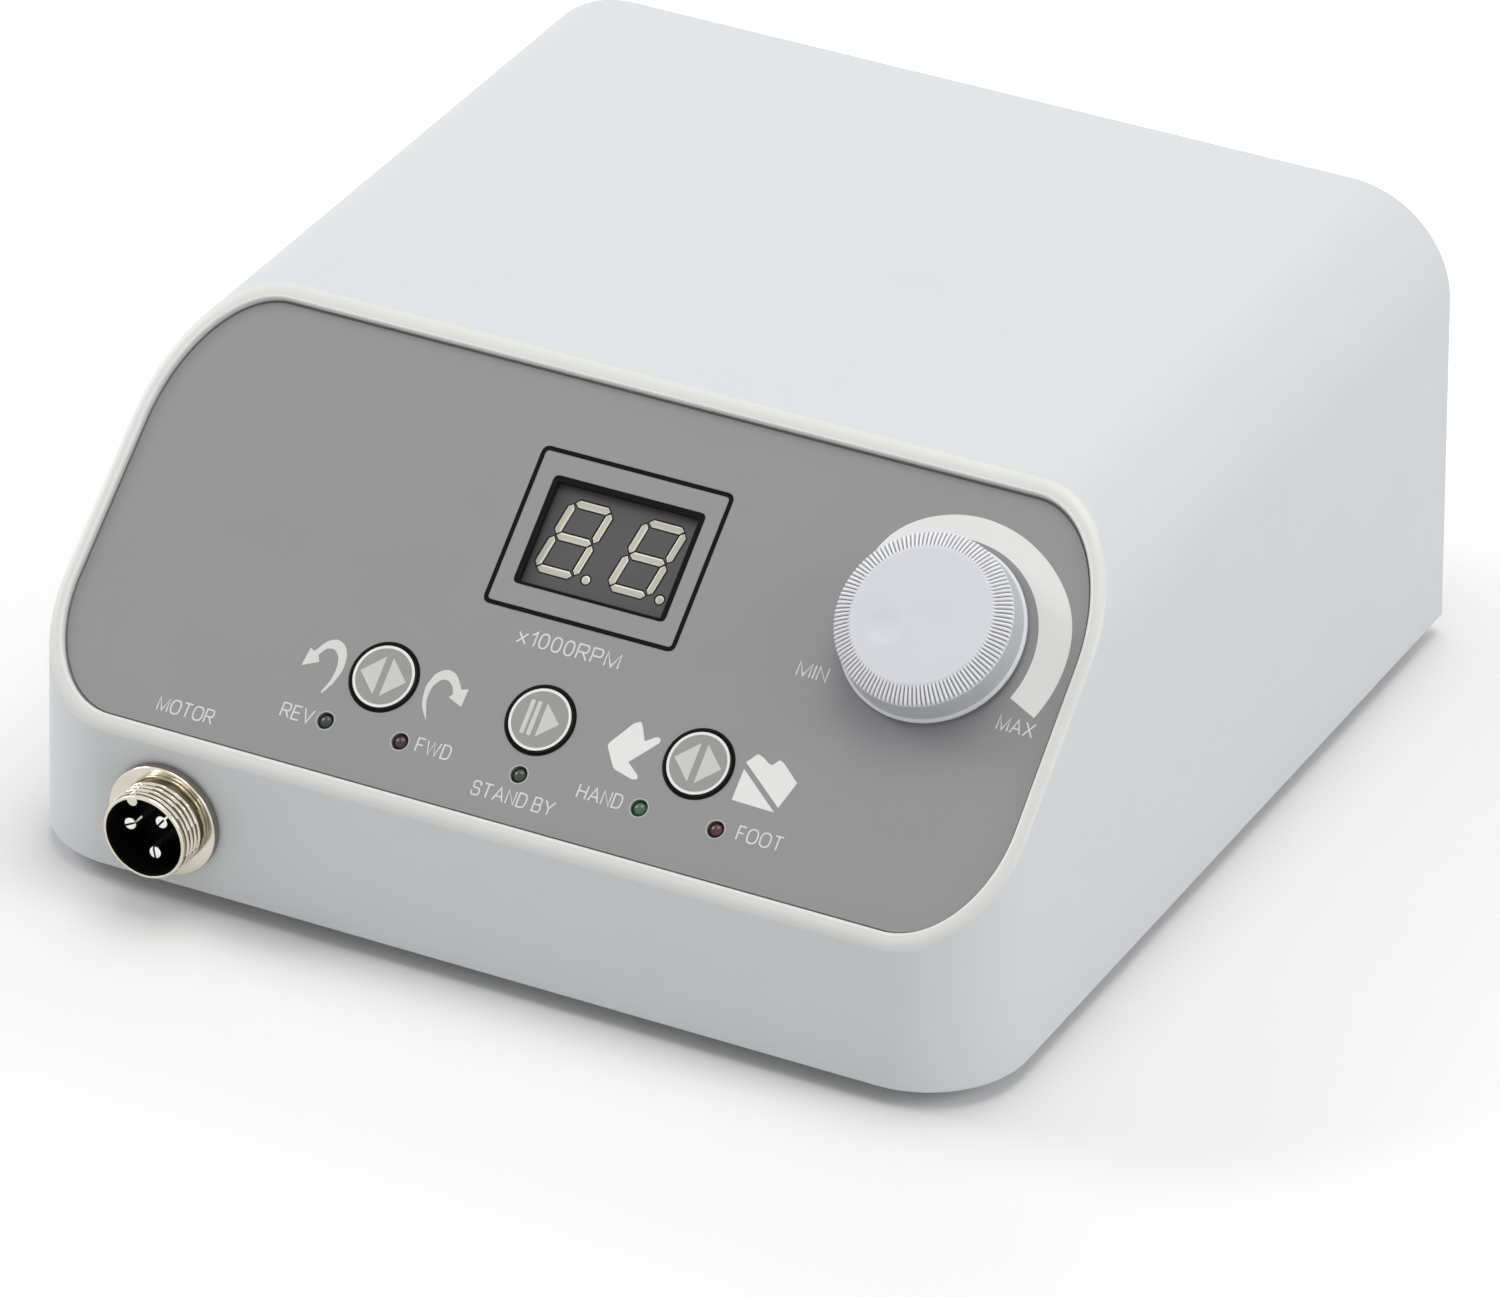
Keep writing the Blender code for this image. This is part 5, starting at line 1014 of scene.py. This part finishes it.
motorSocket = {
    "name": "motor", "flange": 9.4, "flangeTop": 1.9, "thread": 7.4, "rim": 7.4, "bore": 6.65, "rear": -10.0,
    "barrel": 7.6, "cupFloor": -0.6, "pitch": 1.1, "threadDepth": 0.5, "pinCircle": 3.42, "pinRadius": 1.15,
    "pins": 3, "slits": (27, 100, 51), "turn": math.radians(108),
    "place": shifted(frontPlace, motorX, motorZ)}
pedalSocket = {
    "name": "pedal", "flange": 7.5, "flangeTop": 2.1, "thread": 5.5, "rim": 8.1, "bore": 4.8, "rear": -8.0,
    "barrel": 5.9, "cupFloor": 1.6, "pitch": 0.9, "threadDepth": 0.3, "pinCircle": 2.3, "pinRadius": 0.8,
    "pins": 2, "slits": (0, 0), "turn": math.radians(90), "place": shifted(rearPlace, 52.0, 20.0)}
# What both sockets share: the neck behind the thread, its ends, the key in the bore, the pins and their slits
socket = {
    "steps": 120, "behind": 0.3, "neck": 0.45, "lead": 0.15, "end": 0.75, "fade": 0.35,
    "toothShares": (1.3, 0.2), "keyRadius": 0.9, "keyIn": 0.3, "keyDepth": 4, "keyTop": 0.15, "channel": 1.2,
    "cupGap": 0.08, "cupTop": 0.3, "cupWall": (0.3, 0.06), "pinGap": 0.3, "pinDrop": 1.5, "pinTail": 4,
    "pinRoundShare": 0.45, "slit": 0.34, "slitDepth": 2.2, "past": 1, "shadeBand": (0.03, 0.2),
    "rootBand": (0.01, 0.6)}


def socketShell(size):
    # A turned sleeve with a stepped flange. On the collar the radius falls by thread depth x (1 - fade x (1 -
    # tooth)), where tooth is |2 p - 1| of the phase p = z / pitch - angle, steepened and clipped
    steps = socket["steps"]
    low = size["flangeTop"] + socket["lead"]
    high = size["rim"] - socket["end"]
    thread = size["thread"]
    neck = thread - socket["neck"]
    lead = softened([
        (size["bore"], size["rear"], 0), (size["barrel"], size["rear"], 0.2),
        (size["barrel"], socket["behind"], 0), (size["flange"], socket["behind"], 0.1),
        (size["flange"], size["flangeTop"], 0.28), (neck, size["flangeTop"], 0), (neck, low - 0.1, 0)])
    threadZ = np.arange(low, high, size["pitch"] / 10)
    end = softened([(thread - 0.36, high + 0.06, 0), (thread - 0.2, high + 0.2, 0.08),
                    (thread - 0.25, size["rim"] - 0.15, 0.12), (thread - 0.42, size["rim"], 0.1),
                    (size["bore"], size["rim"], 0.08), (size["bore"], size["rear"], 0)])
    profile = np.concatenate([lead, np.c_[np.full(len(threadZ), thread), threadZ], end])
    grid = turnedGrid(profile, steps)
    angle = np.linspace(0, 1, steps, endpoint=False)
    phase = threadZ[:, None] / size["pitch"] - angle[None, :]
    tooth = np.abs(2 * (phase - np.floor(phase)) - 1)
    fade = np.clip(np.minimum(threadZ - low, high - threadZ) / socket["fade"], 0, 1)[:, None]
    slope, crest = socket["toothShares"]
    sink = size["threadDepth"] * (1 - fade * (1 - np.clip(slope * tooth - crest, 0, 1)))
    rows = slice(len(lead), len(lead) + len(threadZ))
    grid[rows, :, :2] *= ((thread - sink) / thread)[..., None]
    return grid


def makeCollar(size, keyed, keyCentre):
    # The sleeve with its finishes, and the key, a round ridge down one side of the bore
    place = size["place"]
    grid = socketShell(size)
    shell = putMesh(size["name"] + "Collar", grid.reshape(-1, 3), gridFaces(*grid.shape[:2]), place,
                    finishes["nickel"], soft=40)

    def onFlangeEdge(x, y, z):
        inside, under = socket["shadeBand"]
        return (np.hypot(x, y) > size["flange"] - inside) & (z < size["flangeTop"] - under)

    def inRoot(x, y, z):
        over, under = socket["rootBand"]
        deep = np.hypot(x, y) < size["thread"] - 0.5 * size["threadDepth"]
        return deep & (z > size["flangeTop"] + over) & (z < size["rim"] - under)

    # The flange's side takes painted shade
    paintFaces(shell, place, onFlangeEdge, finishes["shadedNickel"])
    # The thread's roots take painted shade
    paintFaces(shell, place, inRoot, finishes["threadShade"])
    dress(shell, "housing", "nickel_plate", size["name"] + "_socket_shell")
    low = size["rim"] - socket["keyDepth"]
    high = size["rim"] - socket["keyTop"]
    outline = circleLoop(socket["keyRadius"], keyCentre, 32)
    ridge = flatPiece(size["name"] + "Ridge", [outline], low, high, keyed, finishes["nickel"])
    dress(ridge, "housing", "nickel_plate")


def makeCup(size, keyed, keyCentre, pinCentres):
    # A turned cup that fills the bore, with a groove under the key and a hole round each pin
    place = size["place"]
    sleeve = size["bore"] - socket["cupGap"]
    top = size["rim"] - socket["cupTop"]
    wallLow, wallTop = socket["cupWall"]
    cup = turnedPiece(size["name"] + "Cup", softened([
        (0, size["cupFloor"], 0), (sleeve - wallLow, size["cupFloor"], 0), (sleeve - wallTop, top, 0),
        (sleeve, top, 0), (sleeve, size["rear"], 0), (0, size["rear"], 0)]), 96, place, finishes["cup"])
    channel = drill(socket["channel"], keyCentre, keyed, size["rim"] - socket["keyDepth"] - socket["pinGap"],
                    size["rim"] + socket["past"])
    holes = [drill(size["pinRadius"] + socket["pinGap"], centre, place, size["rear"] - socket["past"],
                   size["cupFloor"] + socket["past"]) for centre in pinCentres]
    carve(cup, channel, *holes)
    dress(cup, "housing", "black_nylon", size["name"] + "_socket_insert")


def makePin(size, k, centre):
    # A turned pin with a rounded tip, slit across from the tip down
    tip = size["rim"] - socket["pinDrop"]
    tail = size["rear"] - socket["pinTail"]
    radius = size["pinRadius"]
    stand = shifted(size["place"], *centre, 0, math.radians(size["slits"][k]))
    profile = softened([(0, tip, 0), (radius, tip - 0.02, radius * socket["pinRoundShare"]),
                        (radius, tail, 0.1), (0, tail, 0)], 10)
    pin = turnedPiece(f"{size['name']}Pin{k + 1}", profile, 48, stand, finishes["silver"])
    slit = [boxLoop(4 * radius, socket["slit"])]
    carve(pin, flatPiece("slit", slit, tip - socket["slitDepth"], tip + socket["past"], stand, None))
    dress(pin, "housing", "nickel_plate", f"{size['name']}_pin_{k + 1}")


for size in (motorSocket, pedalSocket):
    count = size["pins"]
    angles = [math.pi / count + turn * k / count + size["turn"] for k in range(count)]
    pinCentres = [(size["pinCircle"] * math.cos(a), size["pinCircle"] * math.sin(a)) for a in angles]
    keyed = shifted(size["place"], angle=size["turn"])
    keyCentre = (size["bore"] - socket["keyIn"], 0)
    makeCollar(size, keyed, keyCentre)
    makeCup(size, keyed, keyCentre, pinCentres)
    for k, centre in enumerate(pinCentres):
        makePin(size, k, centre)
print("sockets made")


# The solids that keep their own shape and take only a finish
carried = {
    "shell": ["base_plate"], "aluminium": ["rear_panel", "heat_sink"], "dark": ["display_housing"],
    "black": ["power_inlet", "switch_frame", "power_rocker", "fuse_holder", "fuse_cap", "bridge_rectifier",
              "power_transistor", "direction_switch", "start_switch", "control_switch"],
    "rubber": ["foot_front_left", "foot_front_right", "foot_rear_left", "foot_rear_right"],
    "steel": ["case_screw_1", "case_screw_2", "case_screw_3", "case_screw_4", "pot_case", "pot_shaft"],
    "nickel": ["pot_nut", "motor_socket_nut", "pedal_socket_nut", "inlet_blade_line", "inlet_blade_neutral",
               "inlet_blade_earth"],
    "laminate": ["control_board", "main_board"], "sleeve": ["filter_capacitor", "motor_lead"],
    "iron": ["transformer_core"], "copper": ["transformer_coil"], "ribbon": ["ribbon_cable"],
    "glass": ["fuse_cartridge"]}
for finish, names in carried.items():
    for name in names:
        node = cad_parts[name]
        node.data.materials.clear()
        node.data.materials.append(finishes[finish])
print("carried-over nodes finished")


# Fitted to the photograph: angles in degrees, shifts in millimetres, focal length and width in its pixels
view = {"azimuth": 26.994, "elevation": 30.201, "roll": 0.764, "shiftX": -40.673, "shiftY": 49.516,
        "focal": 10345.0, "perMillimetre": 6.563, "imageWidth": 1500.0, "sensor": 36.0, "near": 0.05,
        "far": 20}


def makeCamera():
    # The camera's axes follow from azimuth, elevation and roll; its place from the shift and the distance
    azimuth, elevation, roll = [math.radians(view[name]) for name in ("azimuth", "elevation", "roll")]
    ahead = np.array([-math.sin(azimuth) * math.cos(elevation), math.cos(azimuth) * math.cos(elevation),
                      -math.sin(elevation)])
    level = np.array([math.cos(azimuth), math.sin(azimuth), 0])
    above = np.cross(level, ahead)
    right = math.cos(roll) * level + math.sin(roll) * above
    up = -math.sin(roll) * level + math.cos(roll) * above
    distance = view["focal"] / view["perMillimetre"]
    centre = -(view["shiftX"] * right - view["shiftY"] * up + distance * ahead) + casePlace["origin"]
    data = bpy.data.cameras.new("camera")
    data.sensor_fit = "HORIZONTAL"
    data.sensor_width = view["sensor"]
    data.lens = view["focal"] / view["imageWidth"] * data.sensor_width
    data.clip_start = view["near"]
    data.clip_end = view["far"]
    item = bpy.data.objects.new("camera", data)
    scene.collection.objects.link(item)
    axes = np.eye(4)
    axes[:3] = np.stack([right, up, -ahead, centre * mm], axis=-1)
    item.matrix_world = Matrix(axes.tolist())
    scene.camera = item


makeCamera()

# Places and reaches here are in metres, powers in watts
light = {"world": 0.41, "floor": 3.0, "floorColour": "#F4F4F4", "glow": 0.28, "glowReach": 0.14,
         "farGlow": 0.6, "farFrom": 0.35, "farReach": 1.2,
         "footprint": (0.084, 0.085, 0.0), "footCentre": (0.0, -0.02, 0.0),
         "upperTint": (1.0, 1.0, 0.95), "sideTint": (0.985, 0.99, 1.0), "target": (0, 0, 0.03)}
# Place, width, power and tint
studioLamps = {
    "overheadLamp": ((0.2, 0.0, 1.75), 1.2, 8.5, "upperTint"),
    "rearLamp": ((0.0, 0.6, 1.7), 1.2, 5.4, "upperTint"),
    "leftLamp": ((-1.6, -0.1, 1.0), 0.9, 11.2, "sideTint"),
    "rightLamp": ((1.6, 0.1, 0.9), 0.9, 7.4, "sideTint")}


def softLamp(name, place, size, power, tint):
    # A round soft light that points at the target
    data = bpy.data.lights.new(name, "AREA")
    data.shape = "DISK"
    data.size = size
    data.energy = power
    data.color = light[tint]
    item = bpy.data.objects.new(name, data)
    scene.collection.objects.link(item)
    item.location = place
    item.rotation_euler = (Vector(light["target"]) - Vector(place)).to_track_quat("-Z", "Y").to_euler()


for name, row in studioLamps.items():
    softLamp(name, *row)


def seenDirectly(tree):
    # One where the ray is a camera, glossy or transmission ray
    path = addNode(tree, "LightPath")
    first = addNode(tree, "Math", {"operation": "MAXIMUM"},
                    {0: path.outputs["Is Camera Ray"], 1: path.outputs["Is Glossy Ray"]})
    return addNode(tree, "Math", {"operation": "MAXIMUM"},
                   {0: first.outputs[0], 1: path.outputs["Is Transmission Ray"]}).outputs[0]


def makeWorld():
    world = bpy.data.worlds.new("studio")
    scene.world = world
    world.use_nodes = True
    tree = world.node_tree
    tree.nodes.clear()
    lit = addNode(tree, "Background", {"Color": (*light["sideTint"], 1), "Strength": light["world"]})
    seen = addNode(tree, "Background", {"Color": (1, 1, 1, 1), "Strength": 1.0})
    both = addNode(tree, "MixShader", None, {0: seenDirectly(tree), 1: lit.outputs[0], 2: seen.outputs[0]})
    addNode(tree, "OutputWorld", None, {"Surface": both.outputs[0]})


def makeFloor():
    size = light["floor"] / 2
    mesh = bpy.data.meshes.new("floor")
    corners = [(-size, -size, 0), (size, -size, 0), (size, size, 0), (-size, size, 0)]
    mesh.from_pydata(corners, [], [(0, 1, 2, 3)])
    item = bpy.data.objects.new("floor", mesh)
    scene.collection.objects.link(item)
    material = bpy.data.materials.new("paperSweep")
    material.use_nodes = True
    tree = material.node_tree
    tree.nodes.clear()
    paper = addNode(tree, "BsdfDiffuse", {"Color": hexColour(light["floorColour"])})
    glow = addNode(tree, "Emission", {"Color": (1, 1, 1, 1)})
    # The glow starts at the object's footprint, so that its shadow stays, and whitens the paper further out;
    # the footprint's centre is moved 20 mm to the front, which keeps the paper darker further in front of the
    # object, a painted shadow
    where = addNode(tree, "TexCoord")
    centred = addNode(tree, "VectorMath", {"operation": "SUBTRACT", 1: light["footCentre"]},
                      {0: where.outputs["Object"]})
    mirrored = addNode(tree, "VectorMath", {"operation": "ABSOLUTE"}, {0: centred.outputs[0]})
    beyond = addNode(tree, "VectorMath", {"operation": "SUBTRACT", 1: light["footprint"]},
                     {0: mirrored.outputs[0]})
    outside = addNode(tree, "VectorMath", {"operation": "MAXIMUM", 1: (0, 0, 0)}, {0: beyond.outputs[0]})
    away = addNode(tree, "VectorMath", {"operation": "LENGTH"}, {0: outside.outputs[0]})
    growth = addNode(tree, "MapRange", {"interpolation_type": "SMOOTHSTEP", "From Max": light["glowReach"],
                                        "To Max": light["glow"]}, {"Value": away.outputs["Value"]})
    # Far out, where the lamps no longer reach, the paper turns as white as the world behind it
    farGrowth = addNode(tree, "MapRange", {"interpolation_type": "SMOOTHSTEP", "From Min": light["farFrom"],
                                           "From Max": light["farReach"], "To Max": light["farGlow"]},
                        {"Value": away.outputs["Value"]})
    total = addNode(tree, "Math", {"operation": "ADD"}, {0: growth.outputs[0], 1: farGrowth.outputs[0]})
    strength = addNode(tree, "Math", {"operation": "MULTIPLY"}, {0: seenDirectly(tree), 1: total.outputs[0]})
    tree.links.new(strength.outputs[0], glow.inputs["Strength"])
    both = addNode(tree, "AddShader", None, {0: paper.outputs[0], 1: glow.outputs[0]})
    addNode(tree, "OutputMaterial", None, {"Surface": both.outputs[0]})
    mesh.materials.append(material)


makeWorld()
makeFloor()
scene.view_settings.view_transform = "Standard"
print("camera, lights and floor made")

low, high = cadBox
